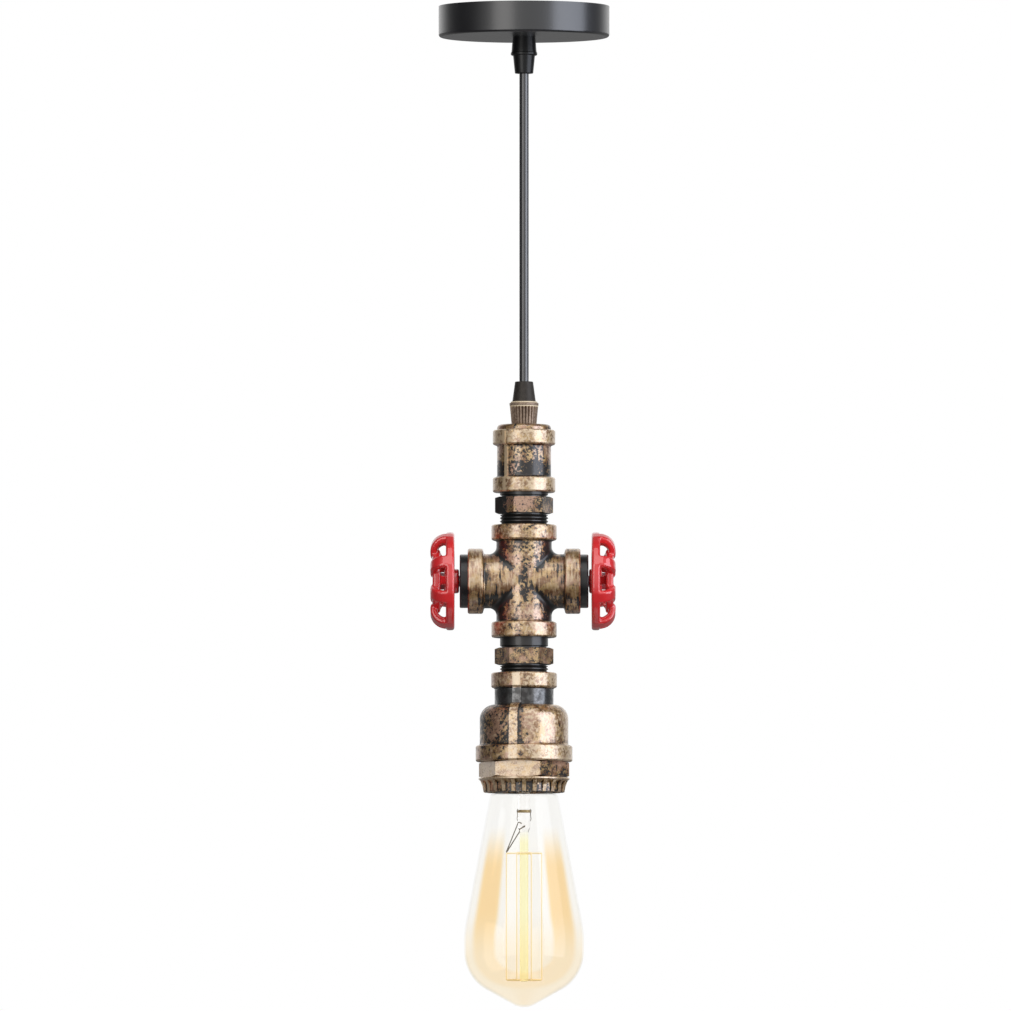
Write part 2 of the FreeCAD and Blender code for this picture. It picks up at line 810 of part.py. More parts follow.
def grip_nut_upper():
    piece = Piece("grip_nut_upper")
    way = f"{GRIP_PASSAGE} + thread_clearance"
    mouth_top = "-top_nut_height + bend_depth + mouth_rise"
    piece.turned(
        [
            (way, "spigot_height"),
            (way, f"{mouth_top} + throat_height"),
            (GRIP_THROAT, f"{mouth_top} + throat_height"),
            (GRIP_THROAT, mouth_top),
            ("mouth_radius", "-top_nut_height"),
            ("top_nut_tip", "-top_nut_height", "fine_round"),
            ("top_nut_radius", "0"),
            ("spigot_radius", "0"),
            ("spigot_radius", "spigot_height"),
        ]
    )
    piece.placed(z="at.grip_body_upper - top_grip_height")


def grip_sleeve_upper():
    piece = Piece("grip_sleeve_upper")
    foot = "at.grip_nut_upper - top_nut_height + bend_depth + mouth_rise + throat_height"
    top = "at.grip_body_upper - grip_thread - grip_web"
    piece.turned(tube("cord_radius + running_clearance", GRIP_PASSAGE, "0", f"{top} - ({foot})"))
    piece.placed(z=foot)


# Cord: the fixed end in the upper grip, the ball where it bends, and the run down to the lamp
def cord_bend():
    made = kept(solid("Part::Sphere", "cord_bend", Radius="cord_radius"), "cord_bend")
    seated(made, z="at.grip_nut_upper - top_nut_height + bend_depth")


def cord_run(label, low, high):
    """A round run of cord, hollowed where it meets the ball."""
    jacket = solid("Part::Cylinder", label + "_jacket", Radius="cord_radius", Height=f"{high} - ({low})")
    seated(jacket, z=low)
    hollow = solid("Part::Sphere", label + "_hollow", Radius="cord_radius + running_clearance")
    seated(hollow, z="at.cord_bend")
    kept(cut(label, jacket, hollow), label)


TAIL_TOP = "at.cup_nipple + jacket_end_gap"
CORD_FOOT = "at.top_plug - dome_height - jacket_below_plug"


def cord_tail():
    cord_run("cord_tail", "at.cord_bend + bend_gap", TAIL_TOP)


def cord():
    cord_run("cord", CORD_FOOT, "at.cord_bend - bend_gap")


# Cores inside the cup, from the cut end of the jacket to the block and the earth screw
LIVE_X = "core_ring * cos(30deg)"
LIVE_Y = "core_ring / 2"


def top_cores():
    crest = "-core_radius - core_clearance"
    behind = "bar_width / 2 + core_radius + core_clearance"
    for label, side in (("live_core_top", ""), ("neutral_core_top", "-")):
        pole = f"{side}pole_spacing / 2"
        x = f"{side}{LIVE_X}"
        stops = [
            (x, LIVE_Y, TAIL_TOP),
            (x, LIVE_Y, crest),
            (pole, behind, crest),
            (pole, behind, BLOCK_MIDDLE),
            (pole, "block_distance + block_depth - sleeve_inset", BLOCK_MIDDLE),
        ]
        core(label, stops, "core_bend")
    drop_x = "-nut_flats / 2 - core_radius - core_clearance"
    on_tag = "-bar_drop + tag_thickness + core_radius"
    stops = [
        ("0", "-core_ring", TAIL_TOP),
        ("0", "-core_ring", crest),
        (drop_x, "-core_ring", crest),
        (drop_x, "-core_ring", on_tag),
        ("-earth_offset + earth_head_radius + tag_margin", "-core_ring", on_tag),
    ]
    core("earth_core_top", stops, "core_bend")


def earth_tag():
    piece = Piece("earth_tag")
    eye, tongue, hole = (piece.sketch("XY_Plane") for part in range(3))
    circle(eye, "earth_head_radius + tag_margin")
    outline(tongue, rectangle("0", "earth_offset - nut_flats / 2 - core_clearance",
                              "-tag_half_width", "tag_half_width"))
    circle(hole, "earth_screw_radius + thread_clearance")
    piece.raised(eye, "tag_thickness")
    piece.raised(tongue, "tag_thickness")
    piece.sunk(hole, middle=True)
    piece.placed(x="-earth_offset", y="-core_ring", z="-bar_drop")


def earth_screw():
    piece = Piece("earth_screw")
    piece.turned(
        [
            ("0", "-earth_screw_length"),
            ("earth_screw_radius", "-earth_screw_length"),
            ("earth_screw_radius", "0"),
            ("earth_head_radius", "0"),
            ("earth_head_radius", "earth_head_height", "edge_round"),
            ("0", "earth_head_height"),
        ]
    )
    slot = piece.sketch("XY_Plane", "earth_head_height - earth_slot_depth")
    outline(slot, rectangle("-earth_head_radius", "earth_head_radius",
                            "-earth_slot_width / 2", "earth_slot_width / 2"))
    piece.sunk(slot, "earth_head_height", up=True)
    piece.placed(x="-earth_offset", y="-core_ring", z="-bar_drop + tag_thickness")


# Lower cord grip: nut, fluted body with its collar, and rubber sleeve
def grip_nut_lower():
    piece = Piece("grip_nut_lower")
    way, foot = f"{GRIP_PASSAGE} + thread_clearance", "-low_nut_height"
    piece.turned(
        [
            (GRIP_THROAT, "0"),
            (GRIP_THROAT, "-throat_height"),
            (way, "-throat_height"),
            (way, f"{foot} - spigot_height"),
            ("spigot_radius", f"{foot} - spigot_height"),
            ("spigot_radius", foot),
            ("low_nut_radius", foot),
            ("low_nut_tip", "0", "fine_round"),
        ]
    )
    piece.placed(z="at.grip_nut_upper - top_nut_height - cord_length")


def grip_body_lower():
    piece = Piece("grip_body_lower")
    foot, collar_foot = "-low_grip_height", "-collar_height"
    web = f"{foot} + grip_thread"
    band = f"{collar_foot} + collar_bevel + collar_band"
    piece.turned(
        [
            (GRIP_SPIGOT, "0"),
            (GRIP_SPIGOT, f"{web} + grip_web"),
            (GRIP_PASSAGE, f"{web} + grip_web"),
            (GRIP_PASSAGE, web),
            (GRIP_NIPPLE, web),
            (GRIP_NIPPLE, foot),
            ("low_grip_foot", foot),
            ("low_grip_radius", collar_foot),
            ("collar_radius", f"{collar_foot} + collar_bevel"),
            ("collar_radius", band),
            ("collar_radius - collar_step", f"{band} + collar_bevel"),
            ("collar_radius - collar_step", "0", "collar_bevel"),
        ]
    )
    flute = piece.sketch("XY_Plane", f"{collar_foot} - flute_drop")
    outline(
        flute,
        [
            ("low_grip_foot - flute_depth", "0"),
            ("collar_radius", "-flute_half_width"),
            ("collar_radius", "flute_half_width"),
        ],
    )
    piece.ring_of(piece.sunk(flute, "low_grip_height"), "flute_count")
    piece.placed(z="at.grip_nut_lower - low_nut_height")


def grip_sleeve_lower():
    piece = Piece("grip_sleeve_lower")
    foot = "at.grip_body_lower - low_grip_height + grip_thread + grip_web"
    height = f"at.grip_nut_lower - throat_height - ({foot})"
    piece.turned(tube("cord_radius + running_clearance", GRIP_PASSAGE, "0", height))
    piece.placed(z=foot)


# Domed plug that closes the coupling, the nipple through it and its nut
SHANK = "pipe_thread - thread_clearance"


def top_plug():
    piece = Piece("top_plug")
    hole, hollow = "nipple_radius + thread_clearance", "pipe_thread - plug_wall"
    seat, web, foot = "-dome_height", "-dome_height - plug_web", "-dome_height - plug_shank"
    piece.turned(
        [
            (hole, "0"),
            (hole, web),
            (hollow, web),
            (hollow, foot),
            (SHANK, foot, "shank_round"),
            (SHANK, seat),
            ("dome_radius", seat),
            ("dome_radius", "0", "dome_round"),
        ]
    )
    piece.placed(z="at.grip_body_lower - low_grip_height")


def lamp_nipple():
    piece = Piece("lamp_nipple")
    piece.turned(tube("nipple_radius - nipple_wall", "nipple_radius", "-inner_nipple", "0"))
    piece.placed(z="at.grip_body_lower - low_grip_height + grip_thread")


def nipple_nut():
    made = nut("nipple_nut", "nut_flats", "nut_height", "nipple_radius + thread_clearance")
    seated(kept(made, "nipple_nut"), z="at.top_plug - dome_height - plug_web - nut_height")


# Straight coupling with a bead at each end and a casting rib down two sides
FEMALE = "pipe_thread + thread_clearance"
FEMALE_DEPTH = "pipe_engagement + mouth_spare"


def coupling():
    piece = Piece("coupling")
    high_bead, low_bead = "-coupling_bead_height", "-coupling_length + coupling_bead_height"
    piece.turned(
        [
            ("0", "0"),
            ("0", "-coupling_length"),
            ("coupling_bead", "-coupling_length", "bead_round"),
            ("coupling_bead", low_bead, "bead_round"),
            ("coupling_radius", f"{low_bead} + bead_fall", "bead_fillet"),
            ("coupling_radius", f"{high_bead} - bead_fall", "bead_fillet"),
            ("coupling_bead", high_bead, "bead_round"),
            ("coupling_bead", "0", "bead_round"),
        ]
    )
    rib = piece.sketch()
    proud, beside = "coupling_bead + rib_proud", "coupling_radius + body_rib_proud"
    right = [(beside, low_bead), (beside, f"{high_bead} - bead_fall"), (proud, high_bead, "edge_round"),
             (proud, "-bead_round")]
    left = [(f"-({c[0]})", *c[1:]) for c in reversed(right)]
    outline(rib, [*right, *left])
    piece.raised(rib, "rib_width", middle=True)
    mouth(piece, "fitting_bore", "0", "coupling_length")
    mouth(piece, FEMALE, "0", FEMALE_DEPTH)
    mouth(piece, FEMALE, f"-coupling_length + {FEMALE_DEPTH}", FEMALE_DEPTH)
    piece.placed(z="at.top_plug - dome_height", angle=RIB_BEARING)


# Hexagonal nipples above and below the cross
def hex_nipple(label, neck, shown, below, turn, seat):
    """A nipple with a plain neck above its hexagon and a thread that shows below it."""
    piece = Piece(label)
    top, foot = f"{neck} + pipe_engagement", f"-hex_height - {shown} - ({below})"
    root = "pipe_thread - pipe_thread_depth"
    start = "-hex_height - thread_relief"
    piece.turned(
        [
            ("0", top),
            ("0", foot),
            (root, foot),
            *reversed(ridges("pipe_thread", root, start, foot, "pipe_pitch")),
            (root, start),
            (root, "thread_relief"),
            ("pipe_thread", "thread_relief + fine_round"),
            ("pipe_thread", top),
        ]
    )
    piece.hexagon("hex_flats", "hex_height")
    bore = piece.sketch("XY_Plane")
    circle(bore, "pipe_bore")
    piece.sunk(bore, middle=True)
    piece.placed(z=seat, angle=turn)


# Four way cross: two crossing tubes with beaded ends, filleted where they meet
def upright(corners):
    """Corners given along and away from the Z axis, ready to sweep round it."""
    return corners


def lying(corners):
    """The same corners laid along the X axis."""
    return [(c[1], c[0], *c[2:]) for c in reversed(corners)]


def cross():
    piece = Piece("cross")
    neck = "cross_reach - cross_bead_height"
    fall = f"{neck} - bead_fall"
    for axis, laid, radius in (("Z_Axis", upright, "cross_upright"), ("X_Axis", lying, "cross_arm")):
        corners = [
            ("0", "-cross_reach"),
            ("cross_bead", "-cross_reach", "bead_round"),
            ("cross_bead", f"-({neck})", "bead_round"),
            (radius, f"-({fall})", "bead_fillet"),
            (radius, fall, "bead_fillet"),
            ("cross_bead", neck, "bead_round"),
            ("cross_bead", "cross_reach", "bead_round"),
            ("0", "cross_reach"),
        ]
        piece.turned(laid(corners), axis)
    piece.rounded(lambda e: type(e.Curve).__name__ == "BSplineCurve", "cross_fillet")
    ledge = f"cross_reach - ({FEMALE_DEPTH})"
    bore = [
        ("0", "-cross_reach"),
        (FEMALE, "-cross_reach"),
        (FEMALE, f"-({ledge})"),
        ("fitting_bore", f"-({ledge})"),
        ("fitting_bore", ledge),
        (FEMALE, ledge),
        (FEMALE, "cross_reach"),
        ("0", "cross_reach"),
    ]
    piece.grooved(upright(bore), "Z_Axis")
    piece.grooved(lying(bore), "X_Axis")
    piece.placed(z="at.hex_nipple_upper - hex_height - upper_thread_show - cross_reach")


# Reducer that widens into the bell round the lampholder
def bell_reducer():
    piece = Piece("bell_reducer")
    bead_foot, low_bead = "-bell_top_bead_height", "-bell_length + bell_bead_height"
    shoulder = f"{bead_foot} - bell_neck_height"
    inside, roof = "bell_radius - bell_wall", f"{shoulder} - bell_wall"
    inner_shoulder = "bell_shoulder - bell_wall"
    piece.turned(
        [
            ("0", "0"),
            ("0", "-bell_length"),
            ("bell_bead", "-bell_length", "bead_round"),
            ("bell_bead", low_bead, "bead_round"),
            ("bell_radius", f"{low_bead} + bead_fall", "bead_fillet"),
            ("bell_radius", shoulder, "bell_shoulder"),
            ("bell_neck", shoulder),
            ("bell_neck", f"{bead_foot} - bead_fall", "bead_fillet"),
            ("bell_top_bead", bead_foot, "bead_round"),
            ("bell_top_bead", "0", "bead_round"),
        ]
    )
    rib = piece.sketch()
    outline(
        rib,
        [
            ("0", bead_foot),
            ("0", low_bead),
            ("bell_radius + bell_rib_proud", low_bead),
            ("bell_radius + bell_rib_proud", f"{shoulder} + bell_rib_proud", "bell_shoulder"),
            ("bell_neck + bell_rib_proud", f"{shoulder} + bell_rib_proud"),
            ("bell_neck + bell_rib_proud", bead_foot),
        ],
    )
    piece.raised(rib, "bell_rib_width", middle=True)
    mouth(piece, "fitting_bore", "0", "bell_length")
    mouth(piece, FEMALE, "0", "pipe_engagement + bell_stop")
    piece.grooved([("0", roof), ("0", "-bell_length"), (inside, "-bell_length"),
                   (inside, roof, inner_shoulder)])
    piece.placed(z="at.hex_nipple_lower - hex_height - lower_thread_show", angle=BELL_RIB_BEARING)


def earth_ring():
    piece = Piece("earth_ring")
    piece.turned(tube("earth_ring_bore", f"{FEMALE} - hole_clearance", "0", "earth_ring_thickness"))
    tab = piece.sketch("XY_Plane")
    outline(tab, rectangle("-tag_half_width", "tag_half_width", "-earth_ring_bore - tag_half_width",
                           "-earth_ring_bore + earth_tab_length"))
    piece.raised(tab, "earth_ring_thickness")
    piece.placed(z="at.bell_reducer - pipe_engagement - bell_stop")


def hex_bushing():
    piece = Piece("hex_bushing")
    thread = "bell_radius - bell_wall - thread_clearance"
    piece.turned([("0", "-bushing_height"), (thread, "-bushing_height"),
                  (thread, "bushing_thread_height", "edge_round"), ("0", "bushing_thread_height")])
    piece.hexagon("bushing_flats", "bushing_height")
    mouth(piece, "ledge_bore", "bushing_thread_height", "bushing_thread_height + bushing_height")
    mouth(piece, "ring_thread", "-ledge_depth", "bushing_height - ledge_depth")
    piece.placed(z="at.bell_reducer - bell_length", angle=BUSHING_TURN)


# Toothed ring that screws into the bushing from below and holds the lampholder up
def lip_ring():
    piece = Piece("lip_ring")
    top, foot = "bushing_height - ledge_depth - holder_flange", "-ring_height"
    bore, spigot = "holder_skirt + hole_clearance", "ring_thread - thread_clearance"
    piece.turned(
        [
            (bore, top),
            (bore, "0"),
            ("ring_mouth", foot),
            ("ring_waist", foot),
            ("ring_waist", "-lip_edge - trumpet_height", "trumpet_round"),
            ("lip_radius", "-lip_edge"),
            ("lip_radius", "-lip_bevel"),
            ("lip_radius - lip_bevel", "0"),
            (spigot, "0"),
            (spigot, top),
        ]
    )
    tooth = piece.sketch()
    outline(
        tooth,
        [
            ("ring_waist - join_depth", "-lip_edge"),
            ("ring_waist - join_depth", foot),
            ("tooth_radius - tooth_bevel", foot),
            ("tooth_radius", "-tooth_belly"),
            ("lip_radius - tooth_bevel", "-lip_edge"),
        ],
    )
    piece.ring_of(piece.raised(tooth, "tooth_width", middle=True), "tooth_count")
    piece.placed(z="at.hex_bushing - bushing_height")


# Lampholder: ceramic body clamped by its flange, threaded shell, centre contact and two posts
CAP_LEVEL = "at.lip_ring - cap_rim_depth"
CAP_TOP = f"{CAP_LEVEL} + cap_skirt_height + cap_screw_height"
CONTACT_LEVEL = f"{CAP_TOP} + insulator_height + button_height + running_clearance"
HOLDER_TOP = "at.holder_body + holder_height"


def holder_body():
    piece = Piece("holder_body")
    flange_foot, ceiling = "-holder_flange", "holder_height - holder_roof"
    foot = f"{flange_foot} - skirt_height"
    bore = "screw_mean + screw_wave + shell_clearance + shell_wall + hole_clearance"
    flange, post_hole = "ring_thread - hole_clearance", "contact_post + thread_clearance"
    piece.turned(
        [
            (bore, foot),
            ("holder_skirt", foot),
            ("holder_skirt", flange_foot),
            (flange, flange_foot),
            (flange, "0"),
            ("holder_radius", "0"),
            ("holder_radius", "holder_height", "holder_round"),
            (post_hole, "holder_height"),
            (post_hole, ceiling),
            (bore, ceiling),
        ]
    )
    piece.placed(z="at.hex_bushing - ledge_depth")


def screw_shell():
    mean, wave, pitch = amount("screw_mean"), amount("screw_wave"), amount("screw_pitch")
    clear, wall, length = amount("shell_clearance"), amount("shell_wall"), amount("shell_length")
    inside = screw(mean + clear, wave, pitch, length)
    outside = screw(mean + clear + wall, wave, pitch, length)
    shaped("screw_shell", outside.cut(inside), z=f"{CAP_LEVEL} + cap_skirt_height")


def centre_contact():
    piece = Piece("centre_contact")
    top = f"{HOLDER_TOP} + contact_proud - ({CONTACT_LEVEL})"
    piece.turned([("0", "0"), ("contact_radius", "0"), ("contact_radius", "contact_leaf"),
                  ("contact_post", "contact_leaf"), ("contact_post", top), ("0", top)])
    piece.placed(z=CONTACT_LEVEL)


def holder_posts():
    posts = []
    for side in ("-", ""):
        name = "left_post" if side else "right_post"
        block = solid("Part::Box", name + "_block", Length="post_width", Width="post_depth",
                      Height="post_height")
        hole = solid("Part::Cylinder", name + "_hole", Radius="core_radius + post_play",
                     Height="post_height")
        seated(hole, x="post_width / 2", y="post_depth / 2", z="post_floor")
        made = cut(name, block, hole)
        posts.append(seated(made, x=f"{side}post_offset - post_width / 2", y="-post_depth / 2", z=HOLDER_TOP))
    group("holder_posts", posts)


# Cores from the cut end of the jacket down through the fittings
def lamp_cores():
    start = f"{CORD_FOOT} - running_clearance"
    shelf = f"{HOLDER_TOP} + post_height"
    for label, side in (("live_core", ""), ("neutral_core", "-")):
        x, post = f"{side}{LIVE_X}", f"{side}post_offset"
        stops = [
            (x, LIVE_Y, start),
            (x, LIVE_Y, "at.cross"),
            (f"{side}core_spread", "0", f"{shelf} + spread_height"),
            (post, "0", f"{shelf} + approach_height"),
            (post, "0", f"{HOLDER_TOP} + post_floor"),
        ]
        core(label, stops, "long_core_bend")
    tab_top = "at.earth_ring + earth_ring_thickness"
    tab_y = "-earth_ring_bore + earth_tab_length / 2"
    stops = [
        ("0", "-core_ring", start),
        ("0", "-core_ring", "at.cross"),
        ("0", tab_y, f"{tab_top} + spread_height / 2"),
        ("0", tab_y, tab_top),
    ]
    core("earth_core", stops, "long_core_bend")


# Bulb: brass cap, black insulator, contact button, envelope, stem and the filament cage
def bulb_cap():
    mean, wave, pitch = amount("screw_mean"), amount("screw_wave"), amount("screw_pitch")
    skirt, thread_height = amount("cap_skirt_height"), amount("cap_screw_height")
    thread = screw(mean, wave, pitch, thread_height)
    thread.translate(Vector(0, 0, skirt))
    rim = Part.makeCone(amount("cap_skirt"), mean - wave - amount("join_depth"), skirt)
    hollow = Part.makeCylinder(amount("cap_bore"), thread_height + skirt - amount("cap_roof"))
    shaped("bulb_cap", thread.fuse(rim).cut(hollow), z=CAP_LEVEL)


def cap_insulator():
    piece = Piece("cap_insulator")
    hole = "button_post + running_clearance"
    piece.turned([(hole, "0"), ("insulator_foot", "0"), ("insulator_tip", "insulator_height", "fine_round"),
                  (hole, "insulator_height")])
    piece.placed(z=CAP_TOP)


def contact_button():
    piece = Piece("contact_button")
    piece.turned(
        [
            ("0", "-button_reach"),
            ("button_post", "-button_reach"),
            ("button_post", "0"),
            ("button_radius", "0"),
            ("button_radius", "button_height", "button_round"),
            ("0", "button_height"),
        ]
    )
    piece.placed(z=f"{CAP_TOP} + insulator_height")


# Depths in the bulb below its cap's rim, the lower ones counted up from the end of the glass
HIP_DROP = "(glass_length - glass_hip_rise)"
BELLY_DROP = "(glass_length - glass_hip_rise - glass_belly_rise)"
ARBOR_DROP = "(glass_length - arbor_gap)"


def bulb_glass():
    piece = Piece("bulb_glass")
    outer = [
        ("glass_neck", "glass_neck_height"),
        ("glass_neck", "-glass_shoulder_drop", "glass_neck_round"),
        ("glass_shoulder", "-glass_shoulder_drop", "glass_shoulder_round"),
        ("glass_throat", "-glass_throat_drop", "glass_side_round"),
        ("glass_belly", f"-{BELLY_DROP}", "glass_side_round"),
        ("glass_hip", f"-{HIP_DROP}", "glass_hip_round"),
        ("glass_tip", "-glass_length", "glass_tip_round"),
        ("0", "-glass_length"),
    ]
    hip_level = f"-{HIP_DROP} + {HIP_SHARE} * glass_wall"
    shoulder_level = "-glass_shoulder_drop - glass_wall"
    inner = [
        ("0", "-glass_length + glass_wall"),
        ("glass_tip", "-glass_length + glass_wall", "glass_tip_round - glass_wall"),
        ("glass_hip - glass_wall", hip_level, "glass_hip_round - glass_wall"),
        ("glass_belly - glass_wall", f"-{BELLY_DROP}", "glass_side_round - glass_wall"),
        ("glass_throat - glass_wall", "-glass_throat_drop", "glass_side_round + glass_wall"),
        ("glass_shoulder - glass_wall", shoulder_level, "glass_shoulder_round - glass_wall"),
        ("glass_neck - glass_wall", shoulder_level, "glass_neck_round + glass_wall"),
        ("glass_neck - glass_wall", "glass_neck_height"),
    ]
    piece.turned(outer + inner)
    piece.placed(z=CAP_LEVEL)


def bulb_stem():
    piece = Piece("bulb_stem")
    flare = "glass_neck - glass_wall - stem_play"
    bore = "stem_radius - stem_wall"
    top = "glass_neck_height - flare_drop"
    piece.turned(
        [
            (bore, "-stem_bore_drop"),
            (bore, f"{top} - flare_height", "flare_round"),
            (f"{flare} - flare_lip", top),
            (flare, top),
            (flare, f"{top} - stem_wall"),
            ("stem_radius", f"{top} - flare_height - stem_wall", "flare_round + stem_wall"),
            ("stem_radius", "-stem_drop", "edge_round"),
            ("arbor_radius", "-stem_drop - pinch_taper", "edge_round"),
            ("arbor_radius", f"-{ARBOR_DROP}", "edge_round"),
            ("0", f"-{ARBOR_DROP}"),
            ("0", "-stem_bore_drop"),
        ]
    )
    piece.placed(z=CAP_LEVEL)


def cage_spot(index, drop):
    """A point on the filament cage, numbered round it from the front."""
    angle = math.pi * (index + 0.5) / amount("strand_pairs")
    radius = amount("cage_radius")
    return Vector(radius * math.sin(angle), -radius * math.cos(angle), -amount(drop))


CAGE_ENDS = ("cage_drop", f"{ARBOR_DROP} - cage_rise")


def filament_cage():
    """One unbroken wire that runs down and up round the cage."""
    high, low = CAGE_ENDS
    count = 2 * round(amount("strand_pairs"))
    stops = []
    for i in range(count):
        ends = [cage_spot(i, high), cage_spot(i, low)]
        stops += ends if i % 2 == 0 else reversed(ends)
    radius = amount("filament_radius")
    gap = (cage_spot(0, high) - cage_spot(1, high)).Length - 2 * radius
    print(f"filament: {count} strands, least gap between two of them {gap:.2f} mm")
    shaped("filament_cage", bent_wire(stops, radius, amount("wire_bend")), z=CAP_LEVEL, angle=FILAMENT_TURN)


def cage_supports():
    """Radial wires from the arbor to the turns of the filament, above and below."""
    inner = amount("arbor_radius")
    length = amount("cage_radius - filament_radius") - inner
    wires = []
    for i in range(2 * round(amount("strand_pairs"))):
        for drop in CAGE_ENDS:
            end = cage_spot(i, drop)
            way = Vector(end.x, end.y, 0).normalize()
            start = way * inner + Vector(0, 0, end.z)
            wires.append(Part.makeCylinder(amount("wire_radius"), length, start, way))
    shaped("cage_supports", Part.makeCompound(wires), z=CAP_LEVEL, angle=FILAMENT_TURN)


def lead_in_wires():
    """The two wires that leave the stem's pinch and reach the ends of the filament."""
    last = 2 * round(amount("strand_pairs")) - 1
    half = "pinch_spacing / 2"
    wires = []
    for side, end in (("-", cage_spot(last, "cage_drop")), ("", cage_spot(0, "cage_drop"))):
        stops = [
            spot(f"{side}{half}", "0", "-stem_drop - pinch_taper / 2"),
            spot(f"{side}{half} * 2", "0", "-stem_drop - pinch_taper"),
            end + spot("0", "0", "wire_radius + filament_radius"),
        ]
        wires.append(bent_wire(stops, amount("wire_radius"), amount("wire_bend")))
    shaped("lead_in_wires", Part.makeCompound(wires), z=CAP_LEVEL, angle=FILAMENT_TURN)


# Side plugs, stems, handwheels and their nuts, one set each side
def side_set(side, sign, gap):
    turn = {"about": (0, 1, 0), "angle": 90.0 * sign}
    toward = "" if sign > 0 else "-"
    face = "cross_reach + plug_face_height"
    back = f"{face} + {gap}"
    side_plug(side).placed(x=f"{toward}({face})", z="at.cross", **turn)
    side_stem(side, gap).placed(x=f"{toward}({face})", z="at.cross", **turn)
    handwheel(side, gap).placed(x=f"{toward}({back})", z="at.cross", **turn)
    made = nut(f"{side}_wheel_nut", "wheel_nut_flats", "wheel_nut_height", "shaft_thread + thread_clearance")
    seated(kept(made, f"{side}_wheel_nut"), x=f"{toward}({back} + hub_height)", z="at.cross", **turn)


def side_plug(side):
    """A plug on its own Z axis, its face on z = 0 and its shank behind it."""
    piece = Piece(f"{side}_plug")
    hollow, bore = "pipe_thread - plug_wall", "shaft_radius + running_clearance"
    seat, foot = "-plug_face_height", "-plug_face_height - side_shank"
    piece.turned(
        [
            (bore, "0"),
            (bore, "-side_web"),
            (hollow, "-side_web"),
            (hollow, foot),
            (SHANK, foot, "shank_round"),
            (SHANK, seat),
            ("plug_face", seat),
            ("plug_face", "0", "edge_round"),
        ]
    )
    return piece


def side_stem(side, gap):
    """A valve stem held by its head inside the plug, with a square for the wheel and a thread for its nut."""
    piece = Piece(f"{side}_stem")
    neck, head = "-side_web - shaft_play", "-side_web - shaft_play - shaft_head_height"
    end = f"{gap} + hub_height + wheel_nut_height + shaft_proud"
    piece.turned(
        [
            ("0", head),
            ("shaft_head", head, "fine_round"),
            ("shaft_head", neck),
            ("shaft_radius", neck),
            ("shaft_radius", "shaft_step"),
            ("shaft_thread", "shaft_step"),
            ("shaft_thread", end, "fine_round"),
            ("0", end),
        ]
    )
    flats = piece.sketch("XY_Plane", "shaft_step")
    outline(flats, square("square_width / 2", "square_corner"))
    piece.raised(flats, f"{gap} + hub_height - 2 * shaft_step")
    return piece


def handwheel(side, gap):
    """A cast handwheel on its own Z axis: back rim on z = 0, fingers curving forward, spokes sloping back."""
    piece = Piece(f"{side}_handwheel")
    rim_inside, hub_back = "wheel_radius - wheel_rim_width", f"-{gap} + shaft_play"
    piece.turned(
        [
            (rim_inside, "0", "edge_round"),
            ("wheel_radius", "0", "edge_round"),
            ("wheel_radius", "wheel_rim_height"),
            (rim_inside, "wheel_rim_height", "edge_round"),
        ]
    )
    piece.turned([("0", hub_back), ("hub_radius", hub_back), ("hub_radius", "hub_height", "edge_round"),
                  ("0", "hub_height")])
    finger = piece.sketch(turn=FINGER_TURN)
    under, inside = "wheel_height - finger_thickness", "wheel_radius - finger_thickness"
    outline(
        finger,
        [
            ("finger_inner", "wheel_height", "finger_tip_round"),
            ("finger_inner", under, "finger_tip_round"),
            (inside, under, "finger_round - finger_thickness"),
            (inside, "edge_round"),
            ("wheel_radius", "edge_round"),
            ("wheel_radius", "wheel_height", "finger_round"),
        ],
    )
    piece.ring_of(piece.raised(finger, "finger_width", middle=True), "finger_count")
    front = "wheel_height - front_ring_recess"
    back = f"{front} - front_ring_height"
    piece.turned([(*c, "edge_round") for c in tube("front_ring_inner", "front_ring_outer", back, front)])
    spoke = piece.sketch()
    foot, head = "hub_radius - join_depth", "(front_ring_inner + front_ring_outer) / 2"
    face = f"{front} - spoke_inset"
    outline(spoke, [(foot, "spoke_lift"), (head, f"{face} - spoke_thickness"), (head, face),
                    (foot, "spoke_lift + spoke_thickness")])
    piece.ring_of(piece.raised(spoke, "spoke_width", middle=True), "spoke_count")
    flats = piece.sketch("XY_Plane")
    outline(flats, square("square_width / 2 + square_clearance", "square_corner"))
    piece.sunk(flats, middle=True)
    return piece


# The lamp from the ceiling down: each piece takes its seat from the ones above it
ceiling_cup()
crossbar()
cup_nipple()
nipple_lock_nuts()
terminal_block()
terminal_sleeves()
terminal_screws()
grip_body_upper()
grip_nut_upper()
grip_sleeve_upper()
cord_bend()
cord_tail()
top_cores()
earth_tag()
earth_screw()
grip_nut_lower()
grip_body_lower()
grip_sleeve_lower()
top_plug()
cord()
lamp_nipple()
nipple_nut()
coupling()
hex_nipple("hex_nipple_upper", "upper_neck", "upper_thread_show", "pipe_engagement", UPPER_HEX_TURN,
           "at.coupling - coupling_length - upper_neck")
cross()
hex_nipple("hex_nipple_lower", "lower_neck", "lower_thread_show",
           "pipe_engagement + bell_stop - earth_ring_thickness - thread_clearance", 0.0,
           "at.cross - cross_reach - lower_neck")
bell_reducer()
earth_ring()
hex_bushing()
lip_ring()
holder_body()
screw_shell()
centre_contact()
holder_posts()
lamp_cores()
bulb_cap()
cap_insulator()
contact_button()
bulb_glass()
bulb_stem()
filament_cage()
cage_supports()
lead_in_wires()
side_set("left", -1, "left_wheel_gap")
side_set("right", 1, "right_wheel_gap")
doc.recompute()

